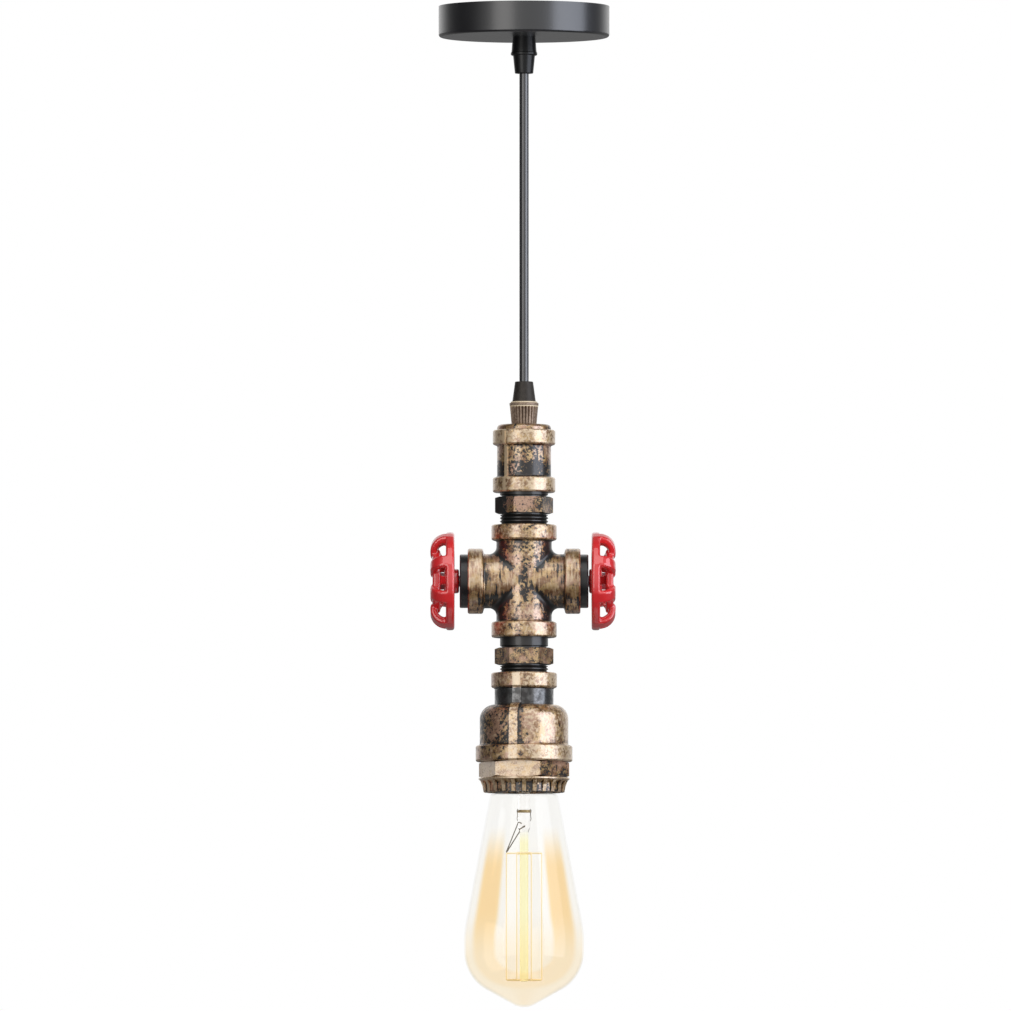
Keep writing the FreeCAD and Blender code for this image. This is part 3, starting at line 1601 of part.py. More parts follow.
# Checks, then one file for each sub-part
for made in doc.Objects:
    if "Invalid" in made.State or "Error" in made.State:
        raise RuntimeError(f"{made.Name} is {made.State}")
for made in KEPT:
    if made.Shape.isNull() or not made.Shape.isValid() or not made.Shape.Solids:
        raise RuntimeError(f"{made.Label} has no valid solid")

os.makedirs("parts", exist_ok=True)
for made in KEPT:
    made.Shape.exportStep(os.path.join("parts", made.Label + ".step"))
    print(f"{made.Label}: {len(made.Shape.Solids)} solid(s), {made.Shape.Volume / 1000:.3f} cm3")
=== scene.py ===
import json
import math

import bmesh
import bpy
from mathutils import Matrix, Vector


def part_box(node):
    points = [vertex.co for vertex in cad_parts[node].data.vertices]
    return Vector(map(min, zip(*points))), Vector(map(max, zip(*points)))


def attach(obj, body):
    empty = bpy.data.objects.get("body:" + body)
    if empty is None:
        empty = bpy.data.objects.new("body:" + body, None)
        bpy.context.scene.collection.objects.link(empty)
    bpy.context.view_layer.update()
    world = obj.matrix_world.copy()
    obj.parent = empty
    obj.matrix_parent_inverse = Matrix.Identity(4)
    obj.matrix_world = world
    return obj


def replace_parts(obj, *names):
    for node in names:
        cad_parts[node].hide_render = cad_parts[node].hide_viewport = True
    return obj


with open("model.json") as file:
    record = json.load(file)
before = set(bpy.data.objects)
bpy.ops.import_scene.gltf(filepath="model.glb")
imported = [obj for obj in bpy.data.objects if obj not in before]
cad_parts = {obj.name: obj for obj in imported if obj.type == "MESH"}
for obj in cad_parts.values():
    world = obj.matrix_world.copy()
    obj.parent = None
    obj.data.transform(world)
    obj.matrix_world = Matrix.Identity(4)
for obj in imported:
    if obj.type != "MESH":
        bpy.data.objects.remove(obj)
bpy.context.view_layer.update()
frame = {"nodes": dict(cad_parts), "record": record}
NODES = frame["nodes"]

MM = 0.001

# The view: its middle, its width at the lamp, and the camera's rise and distance
LAMP_MIDDLE = -275.1 * MM
VIEW_OFFSET = -10.2 * MM
VIEW_WIDTH = 556 * MM
VIEW_RISE = math.radians(3)
VIEW_DISTANCE = 15.4
SENSOR = 36.0

# The studio: its soft boxes' distance and colours, the room's light and the floor
SOFTBOX_DISTANCE = 1.5
WARM_LIGHT = (1.0, 0.98, 0.96)
COOL_LIGHT = (0.83, 0.88, 1.0)
EVEN_LIGHT = (1.0, 1.0, 1.0)
ROOM_SIDES = (0.05, 0.05, 0.055, 1)
ROOM_BACK = (0.2, 0.2, 0.2, 1)
ROOM_FRONT = (0.56, 0.56, 0.56, 1)
FLOOR_HEIGHT = -1.6
FLOOR_RADIUS = 0.55

# The hanging cord
CORD_RADIUS = 2.6 * MM
CORD_TOP = -37.2 * MM
CORD_FOOT = -246.0 * MM
CORD_POINTS = 6

# Heights on the lamp where the finishes change, from the cord down
COLLAR_EDGE = (-218.7 * MM, -218.4 * MM)
COLLAR_LINE = (-220.9 * MM, -220.1 * MM)
COUPLING_FOOT = (-260 * MM, -252 * MM)
UPPER_HEXAGON = (-279.5 * MM, -270.6 * MM)
CROSS_MIDDLE = -316.8 * MM
LOWER_HEXAGON = (-362.6 * MM, -353.7 * MM)
BELL_TOP_BEAD = (-376.5 * MM, -375 * MM)
BELL_NECK = (-386 * MM, -376 * MM)
CLEAR_GLASS_ENDS = -450 * MM
CLEAR_STEM_ENDS = -452 * MM
STRAW_STEM_STARTS = -462 * MM
AMBER_GLASS_STARTS = -476 * MM
AMBER_BAND_ENDS = -496 * MM
AMBER_FOOT_STARTS = -526 * MM

# Radii on the lamp where the finishes change: where a change starts, and where it is done
PLUG_DOME = 8.5 * MM
COUPLING_BODY = (16 * MM, 15.5 * MM)
COUPLING_BEAD = (16.0 * MM, 16.6 * MM)
CROSS_BEAD = (16 * MM, 17 * MM)
NECK_RADIUS = (17.6 * MM, 17.2 * MM)
BUSHING_HEXAGON = 20 * MM
RING_LIP = 22.2 * MM
BELL_BEAD = (25.4 * MM, 26.2 * MM)

# The band on the bulb's stem: its height, its radius and the radius of its wire
BAND_MIDDLE = -443.4 * MM
BAND_RADIUS = 3.3 * MM
BAND_WIRE = 0.7 * MM

# Radii of the bulb's other wires
CLIP_WIRE = 0.2 * MM
LEAD_WIRE = 0.3 * MM

# The cast handwheels: the grain of their mesh, its rounds of softening and how far it then swells
WHEEL_GRAIN = 0.42 * MM
WHEEL_SOFTENING = 28
WHEEL_SWELL = 0.35 * MM


# Shader sockets as Python values
class Value:
    """A shader socket that takes part in Python's arithmetic."""

    def __init__(self, finish, socket):
        self.finish = finish
        self.socket = socket

    def maths(self, operation, *others):
        settings = {"operation": operation}
        return self.finish.node("ShaderNodeMath", settings, dict(enumerate((self, *others))))

    def __add__(self, other):
        return self.maths("ADD", other)

    def __sub__(self, other):
        return self.maths("SUBTRACT", other)

    def __mul__(self, other):
        return self.maths("MULTIPLY", other)

    def __pow__(self, other):
        return self.maths("POWER", other)

    def __rsub__(self, other):
        return self * -1 + other

    __radd__ = __add__
    __rmul__ = __mul__

    def size(self):
        return self.maths("ABSOLUTE")

    def most(self, other):
        return self.maths("MAXIMUM", other)

    def contrast(self, amount):
        """Spread out from the middle value of a noise, 0.5."""
        return self * amount - (amount - 1) / 2

    def between(self, low, high):
        """0 at low, 1 at high and eased between them."""
        settings = {"interpolation_type": "SMOOTHSTEP"}
        return self.finish.node("ShaderNodeMapRange", settings, {0: self, 1: low, 2: high})

    def within(self, low, high, ease=0.2 * MM):
        """1 from low to high, eased over a little at both ends, and 0 outside."""
        return self.between(low - ease, low + ease) * self.between(high + ease, high - ease)

    def blend(self, low, high):
        """The colour low where this is 0, and high where it is 1."""
        settings = {"data_type": "RGBA"}
        return self.finish.node("ShaderNodeMix", settings, {0: self, 6: low, 7: high}, 2)

    def shaders(self, low, high):
        """The shader low where this is 0, and high where it is 1."""
        return self.finish.node("ShaderNodeMixShader", {}, {0: self, 1: low, 2: high})


class Finish:
    """A material, every node of which is made by node()."""

    def __init__(self, name, tree=None):
        if tree is None:
            self.material = bpy.data.materials.new(name)
            self.material.use_nodes = True
            tree = self.material.node_tree
        self.tree = tree
        self.tree.nodes.clear()

    def node(self, kind, settings=None, inputs=None, output=0):
        made = self.tree.nodes.new(kind)
        for key, value in (settings or {}).items():
            setattr(made, key, value)
        for key, value in (inputs or {}).items():
            if isinstance(value, Value):
                self.tree.links.new(value.socket, made.inputs[key])
            else:
                made.inputs[key].default_value = value
        return Value(self, made.outputs[output])

    def place(self):
        """The point on the object, in metres."""
        return self.node("ShaderNodeTexCoord", output="Object")

    def split(self, vector):
        """The three numbers of a vector."""
        return [self.node("ShaderNodeSeparateXYZ", {}, {0: vector}, i) for i in range(3)]

    def axes(self):
        """Across, deep and up, as three values in metres."""
        return self.split(self.place())

    def moved(self, scale=(1, 1, 1), shift=(0, 0, 0)):
        settings = {"vector_type": "POINT"}
        return self.node("ShaderNodeMapping", settings, {0: self.place(), 1: shift, 3: scale})

    def noise(self, scale, detail=2.0, roughness=0.5, stretch=(1, 1, 1), shift=(0, 0, 0)):
        values = {"Vector": self.moved(stretch, shift), "Scale": scale, "Detail": detail}
        return self.node("ShaderNodeTexNoise", {}, {**values, "Roughness": roughness})

    def hollows(self, reach):
        """1 deep in a corner or groove, and 0 on open ground."""
        settings = {"samples": 6, "only_local": True}
        return 1 - self.node("ShaderNodeAmbientOcclusion", settings, {"Distance": reach}, 1)

    def bump(self, height, distance, strength):
        values = {"Height": height, "Distance": distance, "Strength": strength}
        return self.node("ShaderNodeBump", {}, values)

    def shader(self, **values):
        """A Principled shader; its sockets are named in lower case with _ for spaces."""
        named = {}
        for key, value in values.items():
            socket = key.replace("_", " ").title().replace("Ior", "IOR")
            named[socket] = value
        return self.node("ShaderNodeBsdfPrincipled", {}, named)

    def done(self, surface):
        output = self.tree.nodes.new("ShaderNodeOutputMaterial")
        self.tree.links.new(surface.socket, output.inputs["Surface"])
        return self.material


# Colours
def rgb(red, green, blue):
    """A colour from 0 to 255 as a screen shows it, for a shader."""

    def linear(c):
        c = c / 255
        return c / 12.92 if c <= 0.04045 else ((c + 0.055) / 1.055) ** 2.4

    return (linear(red), linear(green), linear(blue), 1.0)


def shaded(colour, factor, lift=0.0):
    """A colour made darker or lighter by a factor."""
    return tuple(min(1.0, c * factor + lift) for c in colour[:3]) + (1.0,)


WHITE = (1, 1, 1, 1)
GOLD_BRIGHT = rgb(248, 220, 178)
GOLD_PALE = rgb(226, 186, 124)
GOLD_DEEP = rgb(162, 114, 66)
GOLD_PINK = rgb(212, 164, 132)
PATINA_BROWN = rgb(32, 25, 21)
PATINA_GREEN = rgb(28, 32, 30)
GLASS_CLEAR = (0.996, 0.994, 0.986, 1)
GLASS_AMBER = (1.0, 0.925, 0.79, 1)
STEM_CLEAR = (0.99, 0.985, 0.98, 1)
STEM_STRAW = rgb(255, 252, 210)

# How much the fine specks, the spots, the clouds and the hollows count in where bronze has worn
FINE_SHARE = 0.8
SPOT_SHARE = 0.45
CLOUD_SHARE = 0.6
HOLLOW_SHARE = 0.6
MARKS_MIDDLE = (FINE_SHARE + SPOT_SHARE + CLOUD_SHARE) / 2


# Places on the lamp, for the finishes
def ring_of(finish):
    """Distance from the lamp's upright axis."""
    across, deep = finish.axes()[:2]
    return (across * across + deep * deep) ** 0.5


def across_of(finish):
    return finish.axes()[0]


def up_of(finish):
    return finish.axes()[2]


def beside(finish, bearing):
    """How far a point lies to the right of a plane through the axis; bearing 0 is the front."""
    across, deep = finish.axes()[:2]
    angle = math.radians(bearing)
    return across * math.cos(angle) + deep * math.sin(angle)


# Finishes
def painted(name, colour, roughness, peel=0.00004, coat=0.0, coat_ior=1.5, coat_roughness=0.1):
    """Sprayed paint, with a faint orange peel and a little unevenness in its gloss."""
    finish = Finish(name)
    pores = finish.noise(700, 2)
    cloud = finish.noise(45, 3)
    return finish.done(
        finish.shader(
            base_color=cloud.between(0.35, 0.75).blend(colour, shaded(colour, 1.25, 0.002)),
            roughness=cloud * 0.12 + (roughness - 0.06),
            coat_weight=coat,
            coat_roughness=coat_roughness,
            coat_ior=coat_ior,
            normal=finish.bump(pores, peel, 0.6),
        )
    )


def plain(name, colour, roughness, metallic=0.0, grain=300, depth=0.00002, shade=0.8):
    """A plain finish of metal or plastic whose colour and gloss vary a little."""
    finish = Finish(name)
    speck = finish.noise(grain, 3)
    return finish.done(
        finish.shader(
            base_color=speck.between(0.3, 0.7).blend(shaded(colour, shade), colour),
            metallic=metallic,
            roughness=speck * 0.15 + (roughness - 0.07),
            normal=finish.bump(speck, depth, 0.5),
        )
    )


def wire_with_painted_glow(name, colour, glow, strength):
    """Thin wire with a faint glow, painted light that makes it look lit."""
    finish = Finish(name)
    speck = finish.noise(300, 3)
    return finish.done(
        finish.shader(
            base_color=speck.between(0.3, 0.7).blend(shaded(colour, 0.95), colour),
            roughness=0.5,
            # Painted light: a faint glow that brightens the thin wire.
            emission_color=glow,
            emission_strength=strength,
        )
    )


def mottled(finish):
    """Small soft marks."""
    return finish.noise(1150, 3, 0.6)


def speckled(finish):
    """Larger marks with hard edges."""
    return finish.noise(640, 3, 0.6).contrast(1.7)


def antique(name, level, grain=mottled, reach=3.5 * MM, polish=None):
    """Black patina rubbed back to lacquered bronze.

    level(finish) is above 0 where most has worn off, and for some fittings it also holds painted
    light and shade;
    polish(finish) is 1 where the patina shines, and reach is how far the hollows that keep their
    patina spread.
    """
    finish = Finish(name)
    fine = grain(finish)
    spots = finish.noise(420, 3, 0.55, shift=(0.3, 0.1, 0.2))
    cloud = finish.noise(90, 2, 0.5, shift=(0.7, 0.4, 0.9))
    marks = fine * FINE_SHARE + spots * SPOT_SHARE + cloud * CLOUD_SHARE - MARKS_MIDDLE
    # Where level holds painted light and shade, rub and the colours made from it carry them too.
    rub = marks + level(finish) - finish.hollows(reach) * HOLLOW_SHARE
    worn = rub.between(-0.05, 0.07)
    tone = finish.noise(240, 3, 0.6, shift=(0.2, 0.8, 0.5))
    warm = tone.between(0.42, 0.6).blend(GOLD_DEEP, GOLD_PALE)
    pinked = cloud.between(0.5, 0.62).blend(warm, GOLD_PINK)
    bright = rub.between(0.14, 0.44)
    gold = bright.blend(pinked, GOLD_BRIGHT)
    patina = cloud.between(0.4, 0.6).blend(PATINA_BROWN, PATINA_GREEN)
    lacquer = worn * 0.6 + 0.3
    return finish.done(
        finish.shader(
            base_color=worn.blend(patina, gold),
            metallic=worn * 0.8 + 0.1 - bright * 0.35,
            roughness=fine * 0.24 + 0.33,
            coat_weight=lacquer.most(polish(finish)) if polish else lacquer,
            coat_roughness=0.2,
            coat_ior=2.4,
            normal=finish.bump(fine * 0.5 + worn * 0.4, 0.0001, 0.7),
        )
    )


def dull_bronze():
    """The fluted grip: dull grey brown metal with two bright lines round its collar, and painted
    shade in the grooves of its flutes.
    """
    finish = Finish("bronze_dark")
    up = up_of(finish)
    speck = finish.noise(900, 3)
    lines = up.between(*COLLAR_EDGE).most(up.within(*COLLAR_LINE, 0.1 * MM))
    # Painted shade: the grooves between the flutes get a darker colour, found by ambient occlusion.
    hollow = finish.hollows(0.8 * MM)
    dull = speck.between(0.3, 0.7).blend(rgb(146, 124, 106), rgb(184, 162, 142))
    ground = hollow.between(0.1, 0.9).blend(dull, rgb(148, 128, 112))
    return finish.done(
        finish.shader(
            base_color=lines.blend(ground, rgb(250, 230, 196)),
            metallic=0.45 - lines * 0.35,
            roughness=speck * 0.15 + 0.38,
            normal=finish.bump(speck, 0.00003, 0.5),
        )
    )


def amber_glass():
    """Thin glass, clear at the neck and amber below, most of all where it is seen at a slant."""
    finish = Finish("amber_glass")
    slant = finish.node("ShaderNodeLayerWeight", {}, {"Blend": 0.5}, 1)
    lower = up_of(finish).between(CLEAR_GLASS_ENDS, AMBER_GLASS_STARTS)
    past_middle = slant.between(0.11, 0.16)
    before_edge = slant.between(0.58, 0.4)
    band = past_middle * before_edge
    foot = up_of(finish).between(AMBER_BAND_ENDS, AMBER_FOOT_STARTS)
    amber = lower * (band * (1 - foot * 0.75) * 0.9 + foot * 0.3 + 0.06)
    mirror = slant**12 * 0.6 + 0.018
    clear = finish.node("ShaderNodeBsdfTransparent", {}, {"Color": GLASS_CLEAR})
    tint = finish.node("ShaderNodeBsdfTransparent", {}, {"Color": GLASS_AMBER})
    gloss = finish.node("ShaderNodeBsdfGlossy", {}, {"Color": WHITE, "Roughness": 0.03})
    return finish.done(mirror.shaders(amber.shaders(clear, tint), gloss))


def clear_glass():
    """The stem, clear at its top and straw coloured where the amber glass surrounds it."""
    finish = Finish("clear_glass")
    lower = up_of(finish).between(CLEAR_STEM_ENDS, STRAW_STEM_STARTS)
    return finish.done(
        finish.shader(
            base_color=lower.blend(STEM_CLEAR, STEM_STRAW),
            roughness=0.02,
            transmission_weight=1.0,
            ior=1.3,
        )
    )


# Where each fitting has worn, and where painted light and shade fall on some of them
def worn_rims(radius, on_rim, below):
    """Worn by on_rim where the piece reaches past a radius, and by below elsewhere."""

    def level(finish):
        rim = ring_of(finish).between(radius - 0.5 * MM, radius + 0.3 * MM)
        return rim * (on_rim - below) + below

    return level


def worn_heights(heights, between, outside):
    """Worn by between from one height to another, and by outside above and below."""

    def level(finish):
        return up_of(finish).within(*heights) * (between - outside) + outside

    return level


def upper_hexagon_wear_and_shade(finish):
    """As worn_heights, with painted shade that darkens its left face."""
    # Painted shade: the left face is made darker, as the light falls away from it.
    left = across_of(finish).between(-9 * MM, -10 * MM)
    return worn_heights(UPPER_HEXAGON, 0.02, -0.5)(finish) - left * 0.22


def bushing_wear_and_shade(finish):
    """Bright on its front face, with painted shade that darkens the face to the right of it."""
    # Painted shade: the face to the right of the front one is made darker, as the light falls away
    # from it.
    right = across_of(finish).between(8 * MM, 9 * MM)
    return worn_rims(BUSHING_HEXAGON, 0.28, -0.2)(finish) - right * 0.26


def worn_coupling(finish):
    """Bright beads, a brighter casting line, a mottled body, and patina left on its lower part."""
    ring = ring_of(finish)
    beads = ring.between(*COUPLING_BEAD) * 0.2
    line = beside(finish, -40).size().between(1.2 * MM, 0.8 * MM) * 0.6
    foot = up_of(finish).within(*COUPLING_FOOT, 2 * MM) * ring.between(*COUPLING_BODY)
    return beads + line - foot * 0.24 + 0.12


def along_arms(finish):
    """1 on the cross's arms and 0 on its uprights."""
    across, _, up = finish.axes()
    level = up - CROSS_MIDDLE
    return (across.size() - level.size()).between(-2 * MM, 2 * MM)


def brushed_cross(finish):
    """Fine marks round each arm, and specks on the uprights."""
    marks = finish.noise(480, 3, 0.6, (1.7, 0.22, 0.22)).contrast(1.6)
    specks = speckled(finish)
    return specks + (marks - specks) * along_arms(finish)


def cross_wear_and_shade(finish):
    """Bright beads and arms, patina in the corners and up the middle, and painted shade under the
    arms and on the uprights' flanks, which leaves their fronts brighter.
    """
    across, deep, up = finish.axes()
    level = up - CROSS_MIDDLE
    upright = (across * across + deep * deep) ** 0.5
    lying = (level * level + deep * deep) ** 0.5
    past = (20 * MM, 22 * MM)
    rims = (upright.between(*CROSS_BEAD) * level.size().between(*past)).most(
        lying.between(*CROSS_BEAD) * across.size().between(*past)
    )
    arms = along_arms(finish)
    strip = across.size().between(3 * MM, 1 * MM) * level.size().between(12 * MM, 9 * MM)
    # Painted shade: the lower half of each arm is made darker, as the light from above falls away
    # from it.
    shade_under_arms = level.between(-3 * MM, -11 * MM) * arms
    diagonals = (across.size() - level.size()).size().between(4.5 * MM, 1 * MM)
    valleys = diagonals * across.size().between(3 * MM, 9 * MM)
    # Painted shade: the flanks of the uprights are made darker where they turn away from the light.
    shaded_flanks = across.size().between(8 * MM, 13 * MM) * (1 - arms) * (1 - rims)
    bright = rims * 0.1 + arms * 0.02
    return bright - strip * 0.18 - shade_under_arms * 0.16 - shaded_flanks * 0.3 - valleys * 0.3 + 0.12


def neck_of_bell(finish):
    """1 on the neck between the bell and its top bead."""
    height = up_of(finish).within(*BELL_NECK, 0.5 * MM)
    return height * ring_of(finish).between(*NECK_RADIUS)


def glossy_neck(finish):
    """Gloss on the bell's neck that comes and goes in patches."""
    patches = finish.noise(260, 3, 0.6, shift=(0.5, 0.2, 0.7))
    return neck_of_bell(finish) * patches.between(0.3, 0.62)


def bell_wear_and_light(finish):
    """Bright beads and rib, a black neck, and painted light that makes the bell brighter on its
    right.
    """
    top_bead = up_of(finish).between(*BELL_TOP_BEAD)
    neck = neck_of_bell(finish)
    bead = ring_of(finish).between(*BELL_BEAD)
    rib = beside(finish, -14).size().between(2.6 * MM, 2.1 * MM) * (1 - neck)
    # Painted light: the bell is made brighter towards its right, the side that the big right
    # softbox lights.
    side = across_of(finish).between(-6 * MM, 8 * MM)
    return top_bead * 0.14 + bead * 0.12 + rib * 0.3 + side * 0.22 - neck * 0.6


def finished():
    """One material for each slot, by name."""
    cup = {"peel": 0.00002, "coat": 1.0, "coat_ior": 1.85, "coat_roughness": 0.27}
    cord = {"peel": 0.0, "coat": 1.0, "coat_ior": 2.0, "coat_roughness": 0.2}
    plug = {"peel": 0.00006, "coat": 0.5, "coat_ior": 1.6, "coat_roughness": 0.2}
    wheel = {"peel": 0.00003, "coat": 1.0, "coat_ior": 1.9, "coat_roughness": 0.05}
    # The filament's faint glow is painted light, which brightens its thin wires.
    filament_painted_glow = rgb(255, 226, 170)
    return {
        "cup_black": painted("cup_black", rgb(11, 11, 15), 0.5, **cup),
        "grip_black": painted("grip_black", rgb(20, 20, 21), 0.3),
        "zinc": plain("zinc", rgb(190, 192, 194), 0.35, metallic=1.0, grain=140),
        "block_white": plain("block_white", rgb(226, 224, 214), 0.45),
        "brass": plain("brass", rgb(214, 178, 104), 0.3, metallic=1.0),
        "cord_black": painted("cord_black", rgb(16, 16, 20), 0.45, **cord),
        "rubber_grey": plain("rubber_grey", rgb(88, 88, 86), 0.7),
        "core_brown": plain("core_brown", rgb(112, 66, 36), 0.4),
        "core_blue": plain("core_blue", rgb(36, 82, 168), 0.4),
        "core_green": plain("core_green", rgb(60, 140, 60), 0.4),
        "bronze_dark": dull_bronze(),
        "bronze": antique("bronze", worn_coupling, speckled),
        "plug_black": painted("plug_black", rgb(30, 34, 34), 0.4, **plug),
        "wheel_red": painted("wheel_red", rgb(250, 42, 46), 0.35, **wheel),
        "ceramic_white": plain("ceramic_white", rgb(236, 234, 228), 0.3),
        "solder": plain("solder", rgb(176, 178, 180), 0.35, metallic=1.0),
        "cap_brass": plain("cap_brass", rgb(222, 190, 120), 0.28, metallic=1.0),
        "insulator_black": plain("insulator_black", rgb(24, 22, 26), 0.2),
        "amber_glass": amber_glass(),
        "clear_glass": clear_glass(),
        "filament": wire_with_painted_glow("filament", rgb(248, 232, 190), filament_painted_glow, 0.45),
    }


def by_node():
    """Finishes of the pieces whose slot looks different from piece to piece."""
    worn_lower_hexagon = worn_heights(LOWER_HEXAGON, 0.06, -0.5)
    nut = {"metallic": 0.4, "grain": 500, "depth": 0.00004, "shade": 0.7}
    return {
        "top_plug": antique("bronze_plug", worn_rims(PLUG_DOME, 0.06, 0.14)),
        "hex_nipple_upper": antique("bronze_upper_hexagon", upper_hexagon_wear_and_shade),
        "hex_nipple_lower": antique("bronze_lower_hexagon", worn_lower_hexagon),
        "cross": antique("bronze_cross", cross_wear_and_shade, brushed_cross, reach=8 * MM),
        "bell_reducer": antique("bronze_bell", bell_wear_and_light, speckled, polish=glossy_neck),
        "hex_bushing": antique("bronze_bushing", bushing_wear_and_shade),
        "lip_ring": antique("bronze_ring", worn_rims(RING_LIP, 0.3, 0.0), reach=1.2 * MM),
        "lead_in_wires": plain("lead_steel", rgb(136, 126, 112), 0.45, metallic=0.5),
        "grip_nut_lower": plain("nut_dull", rgb(72, 66, 60), 0.5, **nut),
    }


# Pieces
def added(name, data):
    """A new object in the scene, at the origin."""
    made = bpy.data.objects.new(name, data)
    bpy.context.scene.collection.objects.link(made)
    return made


def meshed(name, shape):
    """A new mesh with the shape in it, which ends here."""
    mesh = bpy.data.meshes.new(name)
    shape.to_mesh(mesh)
    shape.free()
    return mesh


def tube(name, points, radius, facets, steps, finish):
    """A round tube along a smooth line of points, in metres."""
    line = bpy.data.curves.new(name, "CURVE")
    line.dimensions = "3D"
    line.bevel_depth = radius
    line.bevel_resolution = facets
    line.use_fill_caps = True
    run = line.splines.new("NURBS")
    run.points.add(len(points) - 1)
    for point, place in zip(run.points, points):
        point.co = (*place, 1)
    run.order_u = 3
    run.use_endpoint_u = True
    run.resolution_u = steps
    line.materials.append(finish)
    return added(name, line)


def hanging_cord(finish):
    """The cord that shows, straight from the upper grip into the lower one."""
    drop = (CORD_FOOT - CORD_TOP) / (CORD_POINTS - 1)
    points = [(0, 0, CORD_TOP + drop * i) for i in range(CORD_POINTS)]
    cord = tube("hanging_cord", points, CORD_RADIUS, 9, 4, finish)
    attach(cord, "cord")
    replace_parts(cord, "cord")


def wire(name, points, radius, finish):
    """A bent wire of the bulb. Its points are in millimetres."""
    bent = tube(name, [Vector(point) * MM for point in points], radius, 3, 12, finish)
    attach(bent, "bulb")
    return bent


def stem_band(finish):
    """A ring of flat wire round the bulb's stem."""
    shape = bmesh.new()
    upright = Matrix.Rotation(math.pi / 2, 4, "X")
    flat = Matrix.Diagonal((0.5, 1, 1, 1))
    at = Matrix.Translation((BAND_RADIUS, 0, BAND_MIDDLE)) @ upright @ flat
    made = bmesh.ops.create_circle(shape, cap_ends=False, segments=12, radius=BAND_WIRE, matrix=at)
    bmesh.ops.spin(
        shape,
        geom=made["verts"] + shape.edges[:],
        cent=(0, 0, BAND_MIDDLE),
        axis=(0, 0, 1),
        angle=math.tau,
        steps=48,
        use_merge=True,
    )
    bmesh.ops.remove_doubles(shape, verts=shape.verts, dist=0.001 * MM)
    bmesh.ops.recalc_face_normals(shape, faces=shape.faces)
    mesh = meshed("stem_band", shape)
    mesh.shade_smooth()
    mesh.materials.append(finish)
    band = added("stem_band", mesh)
    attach(band, "bulb")


def stem_wires(finish):
    """The clips beside the stem's band, and the lead-in wires that leave the pinch below it."""
    clip = [(3.2, -442.0), (4.1, -442.6), (3.4, -445.4), (4.1, -448.2), (3.0, -448.8)]
    for name, way in (("stem_clip_left", -1), ("stem_clip_right", 1)):
        wire(name, [(across * way, 0, up) for across, up in clip], CLIP_WIRE, finish)
    near = [(-1.0, -0.5, -450.2), (-3.0, -0.9, -449.0), (-3.6, -1.3, -450.8), (-9.7, -4.2, -465.9)]
    far = [(0.4, 0.6, -451.4), (-1.2, 1.2, -452.2), (-2.2, 1.8, -454.2), (-9.7, 4.2, -465.9)]
    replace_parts(wire("lead_in_near", near, LEAD_WIRE, finish), "lead_in_wires")
    wire("lead_in_far", far, LEAD_WIRE, finish)


def applied(piece):
    """The piece's mesh with its modifiers in it, in place of the one they started from."""
    bpy.context.view_layer.update()
    graph = bpy.context.evaluated_depsgraph_get()
    mesh = bpy.data.meshes.new_from_object(piece.evaluated_get(graph))
    piece.modifiers.clear()
    piece.data = mesh
    return mesh


def fitted(mesh, node):
    """Stretches a mesh so that it fills the node's box and no more."""
    low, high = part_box(node)
    places = [[vertex.co[axis] for vertex in mesh.vertices] for axis in range(3)]
    first = Vector([min(along) for along in places])
    last = Vector([max(along) for along in places])
    stretch = [(high[axis] - low[axis]) / (last[axis] - first[axis]) for axis in range(3)]
    scaled = Matrix.Diagonal((*stretch, 1)) @ Matrix.Translation(-first)
    mesh.transform(Matrix.Translation(low) @ scaled)


def cast_wheel(side, finish):
    """A handwheel with the soft edges and full corners of a painted casting."""
    node = f"{side}_handwheel"
    shape = bmesh.new()
    shape.from_mesh(NODES[node].data)
    bmesh.ops.remove_doubles(shape, verts=shape.verts, dist=0.001 * MM)
    wheel = added(f"{side}_cast_wheel", meshed(f"{side}_cast_wheel", shape))
    full = wheel.modifiers.new("full", "REMESH")
    full.mode = "VOXEL"
    full.voxel_size = WHEEL_GRAIN
    full.use_smooth_shade = True
    soft = wheel.modifiers.new("soft", "SMOOTH")
    soft.factor = 0.5
    soft.iterations = WHEEL_SOFTENING
    swell = wheel.modifiers.new("swell", "DISPLACE")
    swell.strength = WHEEL_SWELL
    swell.mid_level = 0.0
    mesh = applied(wheel)
    fitted(mesh, node)
    mesh.materials.clear()
    mesh.materials.append(finish)
    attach(wheel, f"{side}_wheel")
    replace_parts(wheel, node)


def dress(materials, special):
    """Gives each CAD node the finish of its slot, or one of its own."""
    for part in frame["record"]["subparts"]:
        mesh = NODES[part["node"]].data
        mesh.materials.clear()
        mesh.materials.append(special.get(part["node"], materials[part["material_slot"]]))


# Studio
def softbox(name, colour, azimuth, rise, width, height, glow):
    """A light that faces the middle of the lamp. Azimuth 0 is in front and 90 to the right."""
    light = bpy.data.lights.new(name, "AREA")
    light.shape = "RECTANGLE"
    light.size, light.size_y = width, height
    light.color = colour
    light.energy = glow * math.pi * width * height
    holder = added(name, light)
    turn, tilt = math.radians(azimuth), math.radians(rise)
    level = math.cos(tilt)
    way = Vector((math.sin(turn) * level, -math.cos(turn) * level, math.sin(tilt)))
    holder.location = Vector((0, 0, LAMP_MIDDLE)) + way * SOFTBOX_DISTANCE
    holder.rotation_euler = way.to_track_quat("Z", "Y").to_euler()


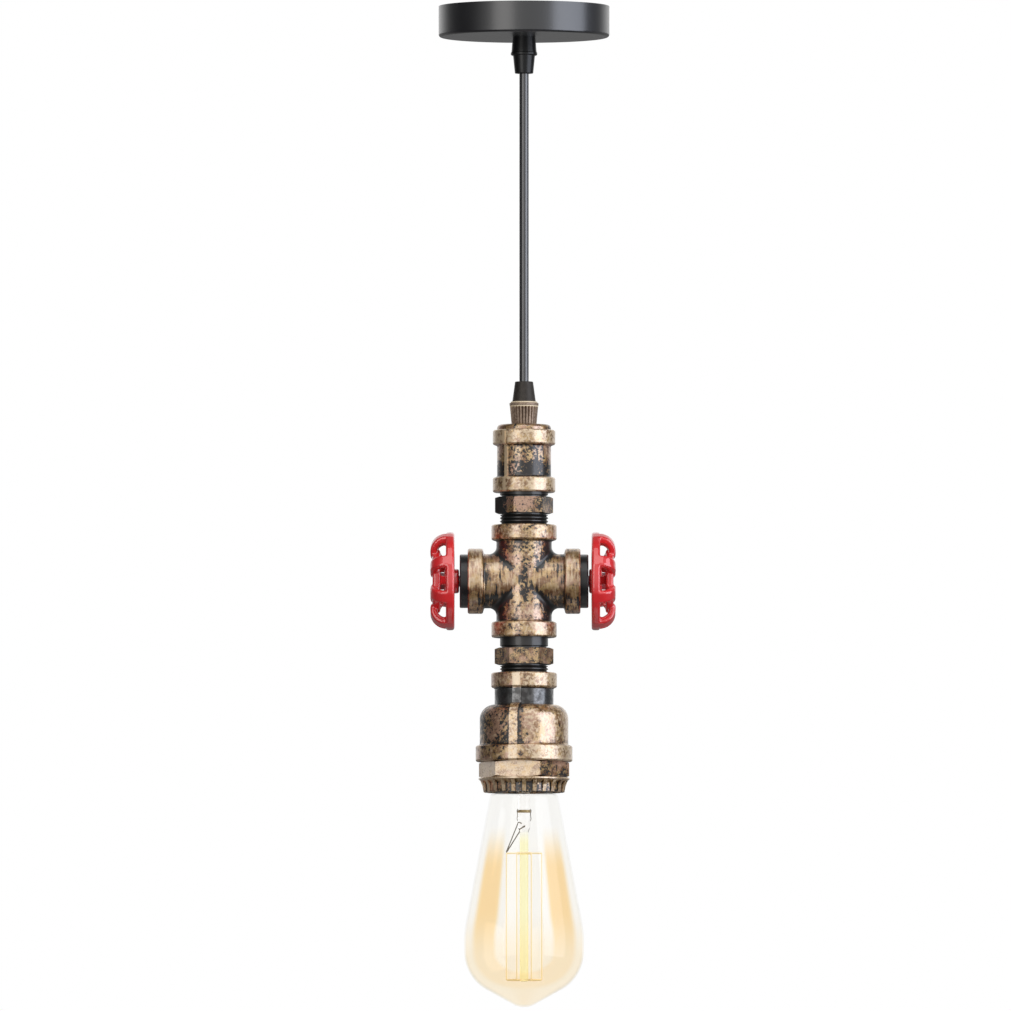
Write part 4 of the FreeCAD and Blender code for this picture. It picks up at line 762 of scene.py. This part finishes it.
def surroundings():
    """A dim room, brighter in front. The camera and glass see it white, and gloss only its back."""
    world = bpy.data.worlds.new("studio")
    bpy.context.scene.world = world
    world.use_nodes = True
    sky = Finish("studio", world.node_tree)
    camera_ray, through_glass, in_gloss = [
        sky.node("ShaderNodeLightPath", output=name)
        for name in ("Is Camera Ray", "Is Transmission Ray", "Is Glossy Ray")
    ]
    _, deep, up = sky.split(sky.node("ShaderNodeTexCoord", output="Generated"))
    front = deep.between(-0.2, -0.9) * up.between(-0.6, 0.0)
    backdrop = deep.between(0.5, 0.9) * up.between(-0.03, 0.06)
    seen = camera_ray.most(through_glass).most(in_gloss * backdrop)
    sides = deep.between(0.1, 0.8).blend(ROOM_SIDES, ROOM_BACK)
    room = front.blend(sides, ROOM_FRONT)
    background = sky.node("ShaderNodeBackground", {}, {"Color": seen.blend(room, WHITE)})
    output = sky.tree.nodes.new("ShaderNodeOutputWorld")
    sky.tree.links.new(background.socket, output.inputs["Surface"])


def studio():
    softbox("lamp_left", WARM_LIGHT, azimuth=-28, rise=8, width=0.7, height=1.7, glow=1.2)
    softbox("lamp_right", COOL_LIGHT, azimuth=64, rise=8, width=1.35, height=1.7, glow=2.2)
    softbox("lamp_top", EVEN_LIGHT, azimuth=0, rise=62, width=1.3, height=1.1, glow=1.0)
    surroundings()


def floor():
    """A pale disc well below the lamp."""
    shape = bmesh.new()
    at = Matrix.Translation((0, 0, FLOOR_HEIGHT))
    bmesh.ops.create_circle(shape, cap_ends=True, segments=96, radius=FLOOR_RADIUS, matrix=at)
    mesh = meshed("floor", shape)
    mesh.materials.append(plain("floor_white", rgb(238, 238, 236), 0.8))
    added("floor", mesh)


def camera():
    """Looks along +Y and a little upwards, as the photograph does at the bell."""
    lens = bpy.data.cameras.new("camera")
    lens.sensor_width = SENSOR
    lens.lens = SENSOR * VIEW_DISTANCE / VIEW_WIDTH
    lens.clip_end = 100
    holder = added("camera", lens)
    way = Vector((0, math.cos(VIEW_RISE), math.sin(VIEW_RISE)))
    holder.location = Vector((VIEW_OFFSET, 0, LAMP_MIDDLE)) - way * VIEW_DISTANCE
    holder.rotation_euler = (-way).to_track_quat("Z", "Y").to_euler()
    bpy.context.scene.camera = holder


MATERIALS = finished()
SPECIAL = by_node()
dress(MATERIALS, SPECIAL)
hanging_cord(MATERIALS["cord_black"])
for side in ("left", "right"):
    cast_wheel(side, MATERIALS["wheel_red"])
stem_band(plain("getter_gold", rgb(226, 196, 136), 0.4, metallic=0.4))
stem_wires(SPECIAL["lead_in_wires"])
camera()
studio()
floor()
bpy.context.scene.view_settings.view_transform = "Standard"
